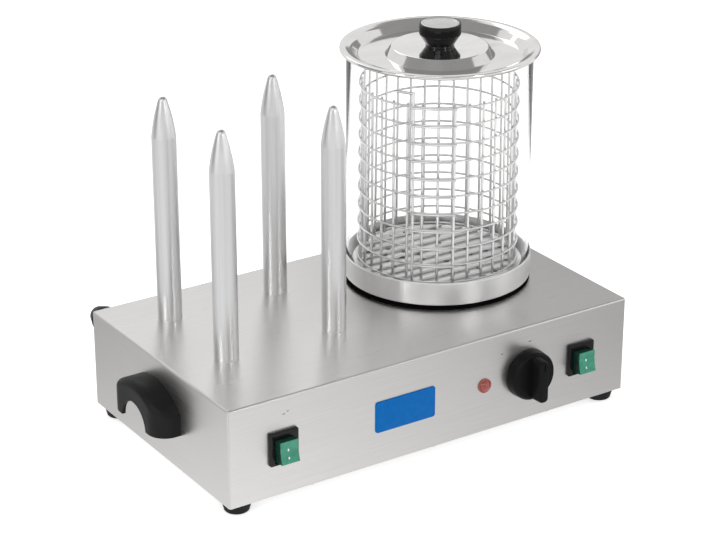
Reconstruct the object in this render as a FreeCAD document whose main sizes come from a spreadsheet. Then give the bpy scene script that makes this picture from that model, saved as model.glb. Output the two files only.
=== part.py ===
"""Hot dog toaster: a steel housing with four heated spikes and a glass steamer.

Millimetres. X runs along the front, Y to the rear, Z up. The origin is on the ground, midway
between the two carrying handles, and midway between the thermostat knob and the cable gland.
"""

import FreeCAD, Part
import math
import os

import Sketcher

Vector = FreeCAD.Vector
Rotation = FreeCAD.Rotation
UP = Vector(0, 0, 1)
ALONG_X = Vector(1, 0, 0)
ALONG_Y = Vector(0, 1, 0)
QUARTER_TURN = 90
HALF_TURN = 180

# Directions that a piece built upright is turned to: (axis to turn about, degrees).
UPRIGHT = (UP, 0)
TO_FRONT = (ALONG_X, QUARTER_TURN)
TO_REAR = (ALONG_X, -QUARTER_TURN)
TO_RIGHT = (ALONG_Y, QUARTER_TURN)
TO_LEFT = (ALONG_Y, -QUARTER_TURN)
UPSIDE_DOWN = (ALONG_X, HALF_TURN)

SIZES = {
    # Housing, in folded stainless sheet
    "housing_width": 500.0,
    "housing_depth": 287.0,
    "housing_height": 108.4,
    "sheet_thickness": 1.0,
    "bend_radius": 2.2,
    "flange_width": 12.0,
    "hole_clearance": 0.3,
    # Base plate and its screws
    "base_thickness": 1.0,
    "base_inset": 2.0,
    "vent_length": 34.0,
    "vent_width": 4.0,
    "vent_pitch": 12.0,
    "vent_row_offset": 70.0,
    "base_screw_inset": 7.0,
    "base_screw_spacing": 150.0,
    "base_screw_radius": 1.6,
    "base_screw_head_radius": 3.2,
    "base_screw_head_height": 2.0,
    "base_screw_reach": 4.0,
    # Rubber feet
    "foot_height": 11.0,
    "foot_radius": 15.0,
    "foot_tip_radius": 13.0,
    "foot_rim_height": 3.0,
    "foot_edge": 0.8,
    "foot_inset_x": 18.0,
    "foot_inset_y": 17.5,
    "foot_recess_radius": 6.0,
    "foot_recess_depth": 6.0,
    "foot_screw_radius": 2.0,
    "foot_screw_head_radius": 4.2,
    "foot_screw_head_height": 2.6,
    "foot_nut_across": 7.0,
    "foot_nut_height": 3.2,
    "thread_tail": 1.5,
    "thread_clearance": 0.05,
    # Toasting spikes
    "spike_centre_x": -122.0,
    "spike_rear_inset": 59.2,
    "spike_spacing_x": 131.0,
    "spike_spacing_y": 119.0,
    "spike_radius": 13.0,
    "spike_length": 247.6,
    "spike_nose_length": 43.0,
    "spike_nose_arc": 220.0,
    "spike_tip_radius": 4.6,
    "spike_tip_height": 3.0,
    "spike_spigot_radius": 8.0,
    "spike_spigot_length": 16.0,
    "spike_nut_across": 24.0,
    "spike_nut_height": 7.0,
    "spike_washer_radius": 14.0,
    "spike_washer_thickness": 1.6,
    "spike_heater_radius": 6.2,
    "spike_heater_length": 170.0,
    "spike_heater_recess": 4.0,
    # Steamer: gasket, dish and its heater
    "steamer_x": 119.0,
    "steamer_rear_inset": 116.2,
    "gasket_thickness": 5.0,
    "gasket_inset": 0.5,
    "gasket_inner_radius": 79.0,
    "dish_radius": 103.5,
    "dish_height": 26.0,
    "dish_wall": 1.6,
    "well_radius": 74.0,
    "well_depth": 24.0,
    "dish_stud_circle": 88.0,
    "dish_stud_radius": 2.0,
    "dish_stud_length": 15.0,
    "dish_nut_across": 7.0,
    "dish_nut_height": 3.2,
    "heater_ring_radius": 50.0,
    "heater_tube_radius": 4.0,
    "heater_ring_sweep": 325.0,
    "heater_pin_radius": 2.5,
    "heater_pin_length": 14.0,
    "clamp_bar_length": 124.0,
    "clamp_bar_width": 18.0,
    "clamp_bar_thickness": 2.0,
    "clamp_stud_radius": 3.0,
    "clamp_nut_across": 10.0,
    "clamp_nut_height": 5.0,
    "cutout_radius": 8.0,
    "cutout_height": 7.0,
    "cutout_offset": 24.0,
    "cutout_blade_height": 6.0,
    # Steam plate
    "plate_radius": 92.0,
    "plate_thickness": 1.2,
    "plate_skirt_height": 14.0,
    "plate_hole_radius": 3.0,
    "plate_ring_pitch": 19.0,
    # Glass cylinder
    "glass_radius": 100.5,
    "glass_wall": 3.0,
    "seat_gap": 0.3,
    # Wire basket
    "basket_radius": 88.0,
    "hoop_wire": 2.2,
    "rod_wire": 3.0,
    "basket_rise": 197.0,
    "rod_overhang": 2.0,
    "floor_wire_pitch": 17.0,
    "basket_turn": -1.7,
    "ladder_angle": 217.5,
    "ladder_sweep": 28.0,
    "rung_end_sweep": 1.0,
    "hook_rise": 13.0,
    "hook_sweep": 12.0,
    # Lid and its knob
    "lid_level": 264.1,
    "lid_radius": 107.9,
    "lid_bead": 2.0,
    "lid_sheet": 1.0,
    "lid_rim_width": 6.4,
    "lid_floor_radius": 88.0,
    "lid_depth": 10.0,
    "lid_boss_foot_radius": 58.7,
    "lid_boss_radius": 52.0,
    "lid_knob_radius": 22.5,
    "lid_knob_neck_radius": 15.5,
    "lid_knob_height": 25.0,
    "lid_knob_rim": 12.0,
    "lid_knob_flare": 11.0,
    "lid_knob_cap_radius": 20.5,
    "lid_knob_cap_thickness": 1.2,
    "lid_screw_radius": 2.5,
    "lid_screw_head_radius": 5.0,
    "lid_screw_head_height": 3.0,
    "lid_screw_depth": 14.0,
    # Controls on the front panel
    "control_height": 53.5,
    "spike_switch_inset": 62.5,
    "steamer_switch_inset": 61.5,
    "switch_width": 34.0,
    "switch_height": 37.0,
    "switch_bezel": 3.5,
    "switch_corner": 2.5,
    "switch_body_width": 27.0,
    "switch_body_height": 35.0,
    "switch_body_depth": 20.0,
    "switch_window_width": 22.0,
    "switch_window_height": 26.8,
    "switch_window_depth": 14.0,
    "rocker_drop": 2.8,
    "rocker_side_gap": 0.5,
    "rocker_half_height": 12.0,
    "rocker_face_height": 17.0,
    "rocker_back_depth": 3.0,
    "rocker_tilt": 7.0,
    "rocker_pivot_depth": 7.0,
    "trunnion_radius": 1.5,
    "trunnion_length": 1.3,
    "running_gap": 0.06,
    "blade_width": 6.3,
    "blade_thickness": 0.8,
    "blade_length": 8.0,
    "blade_spacing": 14.0,
    "lamp_inset": 188.6,
    "lamp_flange_radius": 8.0,
    "lamp_flange_height": 1.4,
    "lamp_dome_radius": 6.4,
    "lamp_dome_height": 5.0,
    "lamp_stem_radius": 5.8,
    "lamp_stem_length": 24.0,
    "lamp_nut_across": 16.0,
    "lamp_nut_height": 3.0,
    "badge_x": -39.5,
    "badge_width": 74.0,
    "badge_height": 35.0,
    "badge_thickness": 1.2,
    "badge_corner": 3.0,
    # Thermostat and its knob
    "dial_inset": 132.0,
    "dial_gap": 0.6,
    "dial_radius": 27.5,
    "dial_skirt_height": 13.0,
    "dial_edge": 2.0,
    "dial_hollow_radius": 22.5,
    "dial_hollow_depth": 4.5,
    "dial_grip_length": 48.0,
    "dial_grip_width": 12.0,
    "dial_grip_height": 17.0,
    "dial_grip_round": 3.0,
    "shaft_radius": 3.0,
    "shaft_depth_in_dial": 16.0,
    "thermostat_width": 40.0,
    "thermostat_height": 36.0,
    "thermostat_depth": 26.0,
    "thermostat_screw_spacing": 28.0,
    "thermostat_screw_radius": 2.0,
    "thermostat_screw_head_radius": 3.4,
    "thermostat_screw_head_height": 2.0,
    "thermostat_screw_reach": 6.0,
    "bulb_radius": 3.0,
    "bulb_length": 50.0,
    "bulb_offset": -14.0,
    "capillary_lead": 10.0,
    "capillary_radius": 1.0,
    "capillary_bend": 9.0,
    # Carrying handles
    "handle_y": 4.5,
    "handle_length": 103.0,
    "handle_foot_height": 41.0,
    "handle_height": 45.5,
    "handle_reach": 27.0,
    "handle_wall": 4.0,
    "handle_corner": 21.0,
    "handle_crown": 70.0,
    "handle_edge": 8.0,
    "handle_grip_height": 24.0,
    "handle_arch_width": 50.0,
    "handle_screw_radius": 2.0,
    "handle_screw_head_radius": 3.8,
    "handle_screw_head_height": 2.4,
    "handle_screw_depth": 10.0,
    "handle_screw_height": 71.0,
    "handle_screw_spacing": 56.0,
    # Cable gland
    "gland_inset": 18.5,
    "gland_height": 91.0,
    "gland_radius": 14.5,
    "gland_collar": 10.0,
    "gland_dome_radius": 9.5,
    "gland_projection": 24.0,
    "gland_stem_radius": 8.0,
    "gland_stem_length": 12.0,
    "gland_bore_radius": 4.2,
    "gland_nut_across": 23.0,
    "gland_nut_height": 5.0,
    # Terminal block, earth stud and wiring
    "terminal_side_inset": 65.0,
    "terminal_rear_inset": 53.5,
    "terminal_width": 58.0,
    "terminal_depth": 22.0,
    "terminal_height": 17.0,
    "terminal_pitch": 13.0,
    "terminal_well_radius": 2.6,
    "terminal_well_depth": 6.0,
    "terminal_screw_height": 4.0,
    "terminal_wire_radius": 1.6,
    "terminal_wire_height": 7.0,
    "terminal_fixing_inset": 5.0,
    "terminal_fixing_radius": 1.6,
    "terminal_fixing_head_radius": 3.0,
    "terminal_fixing_head_height": 2.0,
    "earth_side_inset": 120.0,
    "earth_rear_inset": 43.5,
    "earth_radius": 2.5,
    "earth_length": 12.0,
    "earth_head_radius": 4.5,
    "earth_head_height": 2.2,
    "earth_nut_across": 8.0,
    "earth_nut_height": 4.0,
    "wire_radius": 1.2,
    "wire_bend": 8.0,
    "wire_lead": 20.0,
    "wire_grip": 6.0,
    "heater_lead_offset": 3.0,
    "mains_lane_gap": 20.0,
    "mains_lane_height": 28.0,
    "return_lane_height": 38.0,
    "spike_lane_height": 64.0,
    "thermostat_lead_spacing": 8.0,
}

BASKET_ROD_COUNT = 32
HOOP_COUNT = 11
PLATE_RING_HOLES = (8, 14, 20, 26)
VENT_COUNT = 13

doc = FreeCAD.newDocument("HotDogToaster")


# ---------------------------------------------------------------------------------------------
# Sizes: plain numbers in a spreadsheet, and arithmetic that keeps the expression with the value
# ---------------------------------------------------------------------------------------------


class Size:
    """A length or an angle, with the spreadsheet expression that it comes from."""

    def __init__(self, value, text):
        self.value = float(value)
        self.text = text

    def __add__(self, other):
        other = as_size(other)
        return Size(self.value + other.value, f"({self.text} + {other.text})")

    def __sub__(self, other):
        other = as_size(other)
        return Size(self.value - other.value, f"({self.text} - {other.text})")

    def __mul__(self, other):
        other = as_size(other)
        return Size(self.value * other.value, f"({self.text} * {other.text})")

    def __truediv__(self, other):
        other = as_size(other)
        return Size(self.value / other.value, f"({self.text} / {other.text})")

    def __neg__(self):
        return Size(-self.value, f"(0 - {self.text})")

    def __float__(self):
        return self.value

    def __rsub__(self, other):
        return as_size(other) - self

    __radd__ = __add__
    __rmul__ = __mul__


def as_size(number):
    """A Size for a bare number."""
    return number if isinstance(number, Size) else Size(number, repr(float(number)))


def root(size):
    """The square root of a size."""
    return Size(math.sqrt(size.value), f"sqrt({size.text})")


def turned_to(angle, function, name):
    """A sine, cosine or tangent of an angle in degrees."""
    return Size(function(math.radians(angle.value)), f"{name}({angle.text})")


class Sheet:
    """The driving dimensions: s.name gives the Size that the spreadsheet holds under that name."""

    def __init__(self, numbers):
        self.cells = doc.addObject("Spreadsheet::Sheet", "Sizes")
        for row, (name, number) in enumerate(numbers.items(), start=1):
            self.cells.set(f"A{row}", name)
            self.cells.set(f"B{row}", str(number))
            self.cells.setAlias(f"B{row}", name)
        doc.recompute()

    def __getattr__(self, name):
        return Size(float(self.cells.get(name)), f"Sizes.{name}")


s = Sheet(SIZES)

# ---------------------------------------------------------------------------------------------
# Levels and places that several pieces share
# ---------------------------------------------------------------------------------------------

half_width = s.housing_width / 2
half_depth = s.housing_depth / 2
dial_projection = s.dial_gap + s.dial_skirt_height + s.dial_grip_height
middle_y = (dial_projection - s.gland_projection) / 2
front_y = middle_y - half_depth
rear_y = middle_y + half_depth
shell_z = s.foot_height + s.base_thickness
top_z = shell_z + s.housing_height
under_top_z = top_z - s.sheet_thickness
control_z = shell_z + s.control_height

spike_switch_x = s.spike_switch_inset - half_width
steamer_switch_x = half_width - s.steamer_switch_inset
lamp_x = half_width - s.lamp_inset
dial_x = half_width - s.dial_inset
gland_x = s.gland_inset - half_width
terminal_x = s.terminal_side_inset - half_width
terminal_y = rear_y - s.terminal_rear_inset
earth_x = s.earth_side_inset - half_width
earth_y = rear_y - s.earth_rear_inset

steamer_y = rear_y - s.steamer_rear_inset
spike_middle_y = rear_y - s.spike_rear_inset - s.spike_spacing_y / 2
dish_z = top_z + s.gasket_thickness
dish_floor_z = dish_z + s.dish_wall
well_under_z = dish_z - s.well_depth
plate_top_z = dish_floor_z + s.plate_skirt_height + s.plate_thickness
lid_top_z = top_z + s.lid_level

hoop_radius = s.basket_radius - s.hoop_wire / 2
rod_circle = s.basket_radius - s.hoop_wire - s.rod_wire / 2
basket_z = plate_top_z + s.seat_gap
rod_low_z = basket_z + s.rod_wire
base_hoop_z = rod_low_z + s.hoop_wire / 2
rod_top_z = base_hoop_z + s.basket_rise + s.rod_overhang

CORNERS = {
    "front_left": (-1, -1),
    "front_right": (1, -1),
    "rear_left": (-1, 1),
    "rear_right": (1, 1),
}


# ---------------------------------------------------------------------------------------------
# Document helpers
# ---------------------------------------------------------------------------------------------


def bind(thing, **sizes):
    """Bind properties of a document object to spreadsheet expressions."""
    for name, size in sizes.items():
        thing.setExpression(name, as_size(size).text)
    return thing


def place(thing, x=0, y=0, z=0, facing=UPRIGHT):
    """Turn a piece and bind its place."""
    axis, angle = facing
    thing.Placement = FreeCAD.Placement(Vector(0, 0, 0), Rotation(axis, angle))
    for letter, size in (("x", x), ("y", y), ("z", z)):
        size = as_size(size)
        if size.text != "0.0":
            thing.setExpression(f"Placement.Base.{letter}", size.text)
    return thing


def cylinder(name, radius, height, x=0, y=0, z=0, facing=UPRIGHT):
    """A cylinder standing on (x, y, z)."""
    thing = bind(doc.addObject("Part::Cylinder", name), Radius=radius, Height=height)
    return place(thing, x, y, z, facing)


def block(name, length, width, height, x=0, y=0, z=0):
    """A box centred on x and y, and standing on z."""
    thing = bind(doc.addObject("Part::Box", name), Length=length, Width=width, Height=height)
    x = as_size(x) - as_size(length) / 2
    y = as_size(y) - as_size(width) / 2
    return place(thing, x, y, z)


def hexagon(name, across, height, x=0, y=0, z=0, facing=UPRIGHT):
    """A hexagonal prism standing on (x, y, z)."""
    thing = doc.addObject("Part::Prism", name)
    thing.Polygon = 6
    bind(thing, Circumradius=across / math.sqrt(3), Height=height)
    return place(thing, x, y, z, facing)


def cut(name, base, *tools):
    """The base less its tools."""
    thing = doc.addObject("Part::Cut", name)
    thing.Base = base
    thing.Tool = tools[0] if len(tools) == 1 else fuse(name + "_tools", *tools)
    return thing


def fuse(name, *shapes):
    """Shapes made one."""
    thing = doc.addObject("Part::MultiFuse", name)
    thing.Shapes = list(shapes)
    return thing


def group(name, *shapes):
    """Identical pieces kept apart in one sub-part."""
    thing = doc.addObject("Part::Compound", name)
    thing.Links = list(shapes)
    return thing


def rounded(name, base, wanted, radius):
    """Fillet the edges that the test picks out."""
    doc.recompute()
    edges = [n for n, edge in enumerate(base.Shape.Edges, start=1) if wanted(edge)]
    thing = doc.addObject("Part::Fillet", name)
    thing.Base = base
    thing.Edges = [(n, float(radius), float(radius)) for n in edges]
    return thing


def is_along(direction):
    """A test for straight edges that run in one direction."""

    def test(edge):
        return abs(edge.tangentAt(edge.FirstParameter).dot(direction)) > 0.999

    return test


def origin_plane(body, role):
    """One of a body's own origin planes."""
    return next(plane for plane in body.Origin.OriginFeatures if plane.Role == role)


def sketch_on(body, name, role, corners):
    """A closed outline on an origin plane.

    A corner is (u, v) or (u, v, radius). With a radius, the edge that leaves the corner is an
    arc: positive bulges to the right of the way along, negative to the left.
    """
    sketch = body.newObject("Sketcher::SketchObject", name)
    sketch.AttachmentSupport = [(origin_plane(body, role), "")]
    sketch.MapMode = "FlatFace"
    ends = []
    points = [Vector(float(c[0]), float(c[1]), 0) for c in corners]
    for n, corner in enumerate(corners):
        start = points[n]
        finish = points[(n + 1) % len(points)]
        if len(corner) == 2:
            sketch.addGeometry(Part.LineSegment(start, finish), False)
            ends.append((1, 2))
            continue
        radius = float(corner[2])
        chord = finish - start
        rise = math.sqrt(radius**2 - (chord.Length / 2) ** 2)
        left = Vector(-chord.y, chord.x, 0).normalize()
        centre = (start + finish) * 0.5 + left * math.copysign(rise, radius)
        first, last = (start, finish) if radius > 0 else (finish, start)
        circle = Part.Circle(centre, UP, abs(radius))
        begin = math.atan2(first.y - centre.y, first.x - centre.x)
        stop = math.atan2(last.y - centre.y, last.x - centre.x)
        sketch.addGeometry(Part.ArcOfCircle(circle, begin, stop), False)
        ends.append((1, 2) if radius > 0 else (2, 1))
    for n, corner in enumerate(corners):
        after = (n + 1) % len(corners)
        sketch.addConstraint(Sketcher.Constraint("Coincident", n, ends[n][1], after, ends[after][0]))
    for n, corner in enumerate(corners):
        fix_corner(sketch, n, ends[n][0], as_size(corner[0]), as_size(corner[1]))
        if len(corner) == 3:
            radius = as_size(corner[2])
            number = sketch.addConstraint(Sketcher.Constraint("Radius", n, abs(radius.value)))
            sketch.setExpression(f"Constraints[{number}]", f"abs({radius.text})")
    return sketch


def fix_corner(sketch, edge, end, u, v):
    """Bind one corner of an outline to its two coordinates."""
    for kind, size, axis in (("DistanceX", u, -2), ("DistanceY", v, -1)):
        if size.text == "0.0":
            sketch.addConstraint(Sketcher.Constraint("PointOnObject", edge, end, axis))
            continue
        number = sketch.addConstraint(Sketcher.Constraint(kind, -1, 1, edge, end, size.value))
        sketch.setExpression(f"Constraints[{number}]", size.text)


def turned(name, corners):
    """A body turned about its own Z axis from (radius, height) corners."""
    body = doc.addObject("PartDesign::Body", name)
    sketch = sketch_on(body, name + "_outline", "XZ_Plane", corners)
    turn = body.newObject("PartDesign::Revolution", name + "_turn")
    turn.Profile = sketch
    turn.ReferenceAxis = (sketch, ["V_Axis"])
    turn.Angle = 360
    body.Tip = turn
    return body


def extruded(name, role, corners, length):
    """A body padded both ways from an origin plane."""
    body = doc.addObject("PartDesign::Body", name)
    sketch = sketch_on(body, name + "_outline", role, corners)
    pad = body.newObject("PartDesign::Pad", name + "_pad")
    pad.Profile = sketch
    bind(pad, Length=length)
    pad.Midplane = True
    body.Tip = pad
    return body


def ring(name, outer, inner, height, x=0, y=0, z=0, facing=UPRIGHT):
    """A washer or a hoop of square section, standing on (x, y, z)."""
    body = turned(name, [(inner, 0), (outer, 0), (outer, height), (inner, height)])
    return place(body, x, y, z, facing)


def nut(name, across, height, thread, x, y, z, facing=UPRIGHT):
    """A hexagon nut with a plain bore, standing on (x, y, z)."""
    solid = hexagon(name + "_hexagon", across, height)
    bore = cylinder(name + "_bore", thread + s.thread_clearance, height)
    return place(cut(name, solid, bore), x, y, z, facing)


def screw(name, head, head_height, radius, length, x, y, z, facing=UPRIGHT):
    """A pan head screw: the shank rises from (x, y, z), and the head hangs below it."""
    shank = cylinder(name + "_shank", radius, length)
    cap = cylinder(name + "_head", head, head_height, z=-head_height)
    return place(fuse(name, shank, cap), x, y, z, facing)


def traced(name, points, radius, bend):
    """A round wire along straight runs joined by arcs, as a shape made by code."""
    radius = float(radius)
    points = [Vector(*(float(c) for c in point)) for point in points]
    edges = []
    start = points[0]
    for before, corner, after in zip(points, points[1:], points[2:]):
        inward = (before - corner).normalize()
        outward = (after - corner).normalize()
        half = inward.getAngle(outward) / 2
        back = float(bend) / math.tan(half)
        middle = (inward + outward).normalize()
        first = corner + inward * back
        last = corner + outward * back
        centre = corner + middle * (float(bend) / math.sin(half))
        edges.append(Part.LineSegment(start, first).toShape())
        edges.append(Part.Arc(first, centre - middle * float(bend), last).toShape())
        start = last
    edges.append(Part.LineSegment(start, points[-1]).toShape())
    path = Part.Wire(edges)
    heading = (points[1] - points[0]).normalize()
    section = Part.Wire(Part.Circle(points[0], heading, radius).toShape())
    thing = doc.addObject("Part::Feature", name)
    thing.Shape = path.makePipeShell([section], True, True)
    return thing


sub_parts = []


def sub_part(thing, name):
    """Name a finished sub-part, which names its file too."""
    thing.Label = name
    sub_parts.append(thing)
    return thing


# ---------------------------------------------------------------------------------------------
# Housing, base plate and feet
# ---------------------------------------------------------------------------------------------


def around_steamer(radius, angle):
    """X and y of a place at an angle in degrees on a circle around the steamer's axis."""
    x = s.steamer_x + radius * turned_to(angle, math.cos, "cos")
    y = steamer_y + radius * turned_to(angle, math.sin, "sin")
    return x, y


def ring_arc(name, radius, thickness, start, sweep, z):
    """A level arc of round bar around the steamer's axis, from a start angle in degrees."""
    arc = bind(doc.addObject("Part::Torus", name), Radius1=radius, Radius2=thickness / 2, Angle3=sweep)
    return place(arc, s.steamer_x, steamer_y, z, (UP, float(start)))


def spike_places():
    """Name and place of each spike on the top plate."""
    for name, (side, row) in CORNERS.items():
        x = s.spike_centre_x + s.spike_spacing_x / 2 * side
        y = spike_middle_y + s.spike_spacing_y / 2 * row
        yield name, x, y


def dish_stud_places():
    """Places of the four dish studs, on a circle around the steamer."""
    reach = s.dish_stud_circle / math.sqrt(2)
    for name, (side, row) in CORNERS.items():
        yield name, s.steamer_x + reach * side, steamer_y + reach * row


def handle_screw_places():
    """Side, end and place of each handle screw."""
    for name, (side, row) in CORNERS.items():
        yield name, side, middle_y + s.handle_y + s.handle_screw_spacing / 2 * row


def rounded_shell_box(name, inset, radius):
    """The housing's box, with its folds rounded, drawn in from the outside by an inset."""
    solid = block(
        name + "_box",
        s.housing_width - inset * 2,
        s.housing_depth - inset * 2,
        s.housing_height - inset * 2,
        y=middle_y,
        z=shell_z + inset,
    )
    doc.recompute()
    low = solid.Shape.BoundBox.ZMin

    def is_fold(edge):
        return any(vertex.Point.z > low + 1 for vertex in edge.Vertexes)

    return rounded(name, solid, is_fold, radius)


def make_housing():
    """The folded housing, hollow and open below inside its return flange."""
    outside = rounded_shell_box("housing_outside", as_size(0), s.bend_radius)
    inside = rounded_shell_box("housing_inside", s.sheet_thickness, s.bend_radius - s.sheet_thickness)
    through = s.sheet_thickness * 3
    tools = [
        inside,
        block(
            "housing_mouth",
            s.housing_width - s.flange_width * 2,
            s.housing_depth - s.flange_width * 2,
            through,
            y=middle_y,
            z=shell_z - s.sheet_thickness,
        ),
        cylinder(
            "well_hole",
            s.well_radius + s.hole_clearance,
            through,
            s.steamer_x,
            steamer_y,
            under_top_z - s.sheet_thickness,
        ),
    ]
    for name, x, y in spike_places():
        radius = s.spike_spigot_radius + s.hole_clearance
        tools.append(cylinder("spike_hole_" + name, radius, through, x, y, under_top_z - s.sheet_thickness))
    for name, x, y in dish_stud_places():
        radius = s.dish_stud_radius + s.hole_clearance
        tools.append(cylinder("stud_hole_" + name, radius, through, x, y, under_top_z - s.sheet_thickness))
    tools += front_openings(through)
    for name, side, y in handle_screw_places():
        x = (half_width + s.sheet_thickness) * side
        radius = s.handle_screw_radius + s.hole_clearance
        facing = TO_LEFT if side > 0 else TO_RIGHT
        z = shell_z + s.handle_screw_height
        tools.append(cylinder("handle_hole_" + name, radius, through, x, y, z, facing))
    radius = s.gland_stem_radius + s.hole_clearance
    y = rear_y - s.sheet_thickness * 2
    tools.append(cylinder("gland_hole", radius, through, gland_x, y, shell_z + s.gland_height, TO_REAR))
    for n, (x, y) in enumerate(base_screw_places()):
        tools.append(cylinder(f"flange_hole_{n}", s.base_screw_radius + s.thread_clearance, through, x, y,
                              shell_z - s.sheet_thickness))
    sub_part(cut("housing", outside, *tools), "housing_shell")


def front_openings(through):
    """Cut-outs in the front panel for the controls."""
    y = front_y + s.sheet_thickness / 2
    tools = []
    for name, x in (("spike", spike_switch_x), ("steamer", steamer_switch_x)):
        width = s.switch_body_width + s.hole_clearance * 2
        height = s.switch_body_height + s.hole_clearance * 2
        tools.append(block(f"{name}_switch_hole", width, through, height, x, y, control_z - height / 2))
    y = front_y + s.sheet_thickness * 2
    radius = s.lamp_stem_radius + s.hole_clearance
    tools.append(cylinder("lamp_hole", radius, through, lamp_x, y, control_z, TO_FRONT))
    radius = s.shaft_radius + s.hole_clearance
    tools.append(cylinder("shaft_hole", radius, through, dial_x, y, control_z, TO_FRONT))
    for side in (-1, 1):
        x = dial_x + s.thermostat_screw_spacing / 2 * side
        radius = s.thermostat_screw_radius + s.hole_clearance
        tools.append(cylinder(f"thermostat_hole_{side + 1}", radius, through, x, y, control_z, TO_FRONT))
    return tools


def base_screw_places():
    """Places of the screws that hold the base plate to the return flange."""
    y_reach = half_depth - s.base_screw_inset
    x_reach = half_width - s.base_screw_inset
    for row in (-1, 1):
        for column in (-1, 0, 1):
            yield s.base_screw_spacing * column, middle_y + y_reach * row
    for side in (-1, 1):
        yield x_reach * side, middle_y


def foot_places():
    """Name and place of each foot."""
    for name, (side, row) in CORNERS.items():
        yield name, (half_width - s.foot_inset_x) * side, middle_y + (half_depth - s.foot_inset_y) * row


def make_base():
    """The base plate with its vent slots, and the screws that hold it."""
    plate = block(
        "base_sheet",
        s.housing_width - s.base_inset * 2,
        s.housing_depth - s.base_inset * 2,
        s.base_thickness,
        y=middle_y,
        z=s.foot_height,
    )
    through = s.base_thickness * 3
    z = s.foot_height - s.base_thickness
    tools = []
    for n in range(VENT_COUNT):
        x = s.vent_pitch * (n - VENT_COUNT // 2)
        for row in (-1, 1):
            y = middle_y + s.vent_row_offset * row
            tools.append(block(f"vent_{n}_{row + 1}", s.vent_width, s.vent_length, through, x, y, z))
    for name, x, y in foot_places():
        tools.append(cylinder("foot_hole_" + name, s.foot_screw_radius + s.hole_clearance, through, x, y, z))
    for n, (x, y) in enumerate(base_screw_places()):
        tools.append(cylinder(f"base_hole_{n}", s.base_screw_radius + s.hole_clearance, through, x, y, z))
    tools.append(
        cylinder("earth_hole", s.earth_radius + s.hole_clearance, through, earth_x, earth_y, z)
    )
    for n, x in enumerate(terminal_fixing_places()):
        radius = s.terminal_fixing_radius + s.thread_clearance
        tools.append(cylinder(f"terminal_hole_{n}", radius, through, x, terminal_y, z))
    sub_part(cut("base", plate, *tools), "base_plate")

    screws = []
    length = s.base_thickness + s.sheet_thickness + s.base_screw_reach
    for n, (x, y) in enumerate(base_screw_places()):
        screws.append(
            screw(f"base_screw_{n}", s.base_screw_head_radius, s.base_screw_head_height, s.base_screw_radius,
                  length, x, y, s.foot_height)
        )
    sub_part(group("base_screw_set", *screws), "base_screws")


def make_feet():
    """Four rubber feet, each held by a screw and a nut."""
    hole = s.foot_screw_radius + s.hole_clearance
    outline = [
        (hole, s.foot_recess_depth),
        (s.foot_recess_radius, s.foot_recess_depth),
        (s.foot_recess_radius, 0),
        (s.foot_tip_radius - s.foot_edge, 0),
        (s.foot_tip_radius, s.foot_edge),
        (s.foot_radius, s.foot_height - s.foot_rim_height),
        (s.foot_radius, s.foot_height),
        (hole, s.foot_height),
    ]
    screws = []
    nuts = []
    grip = s.foot_height - s.foot_recess_depth + s.base_thickness
    for name, x, y in foot_places():
        sub_part(place(turned("rubber_foot_" + name, outline), x, y), "foot_" + name)
        screws.append(
            screw("foot_screw_" + name, s.foot_screw_head_radius, s.foot_screw_head_height, s.foot_screw_radius,
                  grip + s.foot_nut_height + s.thread_tail, x, y, s.foot_recess_depth)
        )
        nuts.append(
            nut("foot_nut_" + name, s.foot_nut_across, s.foot_nut_height, s.foot_screw_radius, x, y, shell_z)
        )
    sub_part(group("foot_screw_set", *screws), "foot_screws")
    sub_part(group("foot_nut_set", *nuts), "foot_nuts")


# ---------------------------------------------------------------------------------------------
# Toasting spikes
# ---------------------------------------------------------------------------------------------


def make_spikes():
    """Four bored spikes with bullet noses, each with a heater, a washer and a nut."""
    bore = s.spike_heater_radius + s.thread_clearance
    shoulder = s.spike_length - s.spike_nose_length
    tip = s.spike_length - s.spike_tip_height
    tip_arc = (s.spike_tip_radius * s.spike_tip_radius + s.spike_tip_height * s.spike_tip_height) / (
        s.spike_tip_height * 2
    )
    bore_top = s.spike_heater_length + s.spike_heater_recess - s.spike_spigot_length
    outline = [
        (bore, -s.spike_spigot_length),
        (s.spike_spigot_radius, -s.spike_spigot_length),
        (s.spike_spigot_radius, 0),
        (s.spike_radius, 0),
        (s.spike_radius, shoulder, s.spike_nose_arc),
        (s.spike_tip_radius, tip, tip_arc),
        (0, s.spike_length),
        (0, bore_top),
        (bore, bore_top),
    ]
    heaters = []
    nuts = []
    washers = []
    washer_z = under_top_z - s.spike_washer_thickness
    for name, x, y in spike_places():
        sub_part(place(turned("toasting_spike_" + name, outline), x, y, top_z), "spike_" + name)
        heater_z = top_z - s.spike_spigot_length + s.spike_heater_recess
        heaters.append(
            cylinder("heater_" + name, s.spike_heater_radius, s.spike_heater_length, x, y, heater_z)
        )
        inner = s.spike_spigot_radius + s.hole_clearance
        washers.append(
            ring("washer_" + name, s.spike_washer_radius, inner, s.spike_washer_thickness, x, y, washer_z)
        )
        nuts.append(
            nut("spike_nut_" + name, s.spike_nut_across, s.spike_nut_height, s.spike_spigot_radius, x, y,
                washer_z - s.spike_nut_height)
        )
    sub_part(group("spike_heater_set", *heaters), "spike_heaters")
    sub_part(group("spike_washer_set", *washers), "spike_washers")
    sub_part(group("spike_nut_set", *nuts), "spike_nuts")


# ---------------------------------------------------------------------------------------------
# Steamer base: gasket, dish, ring heater, cut-out and steam plate
# ---------------------------------------------------------------------------------------------


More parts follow.
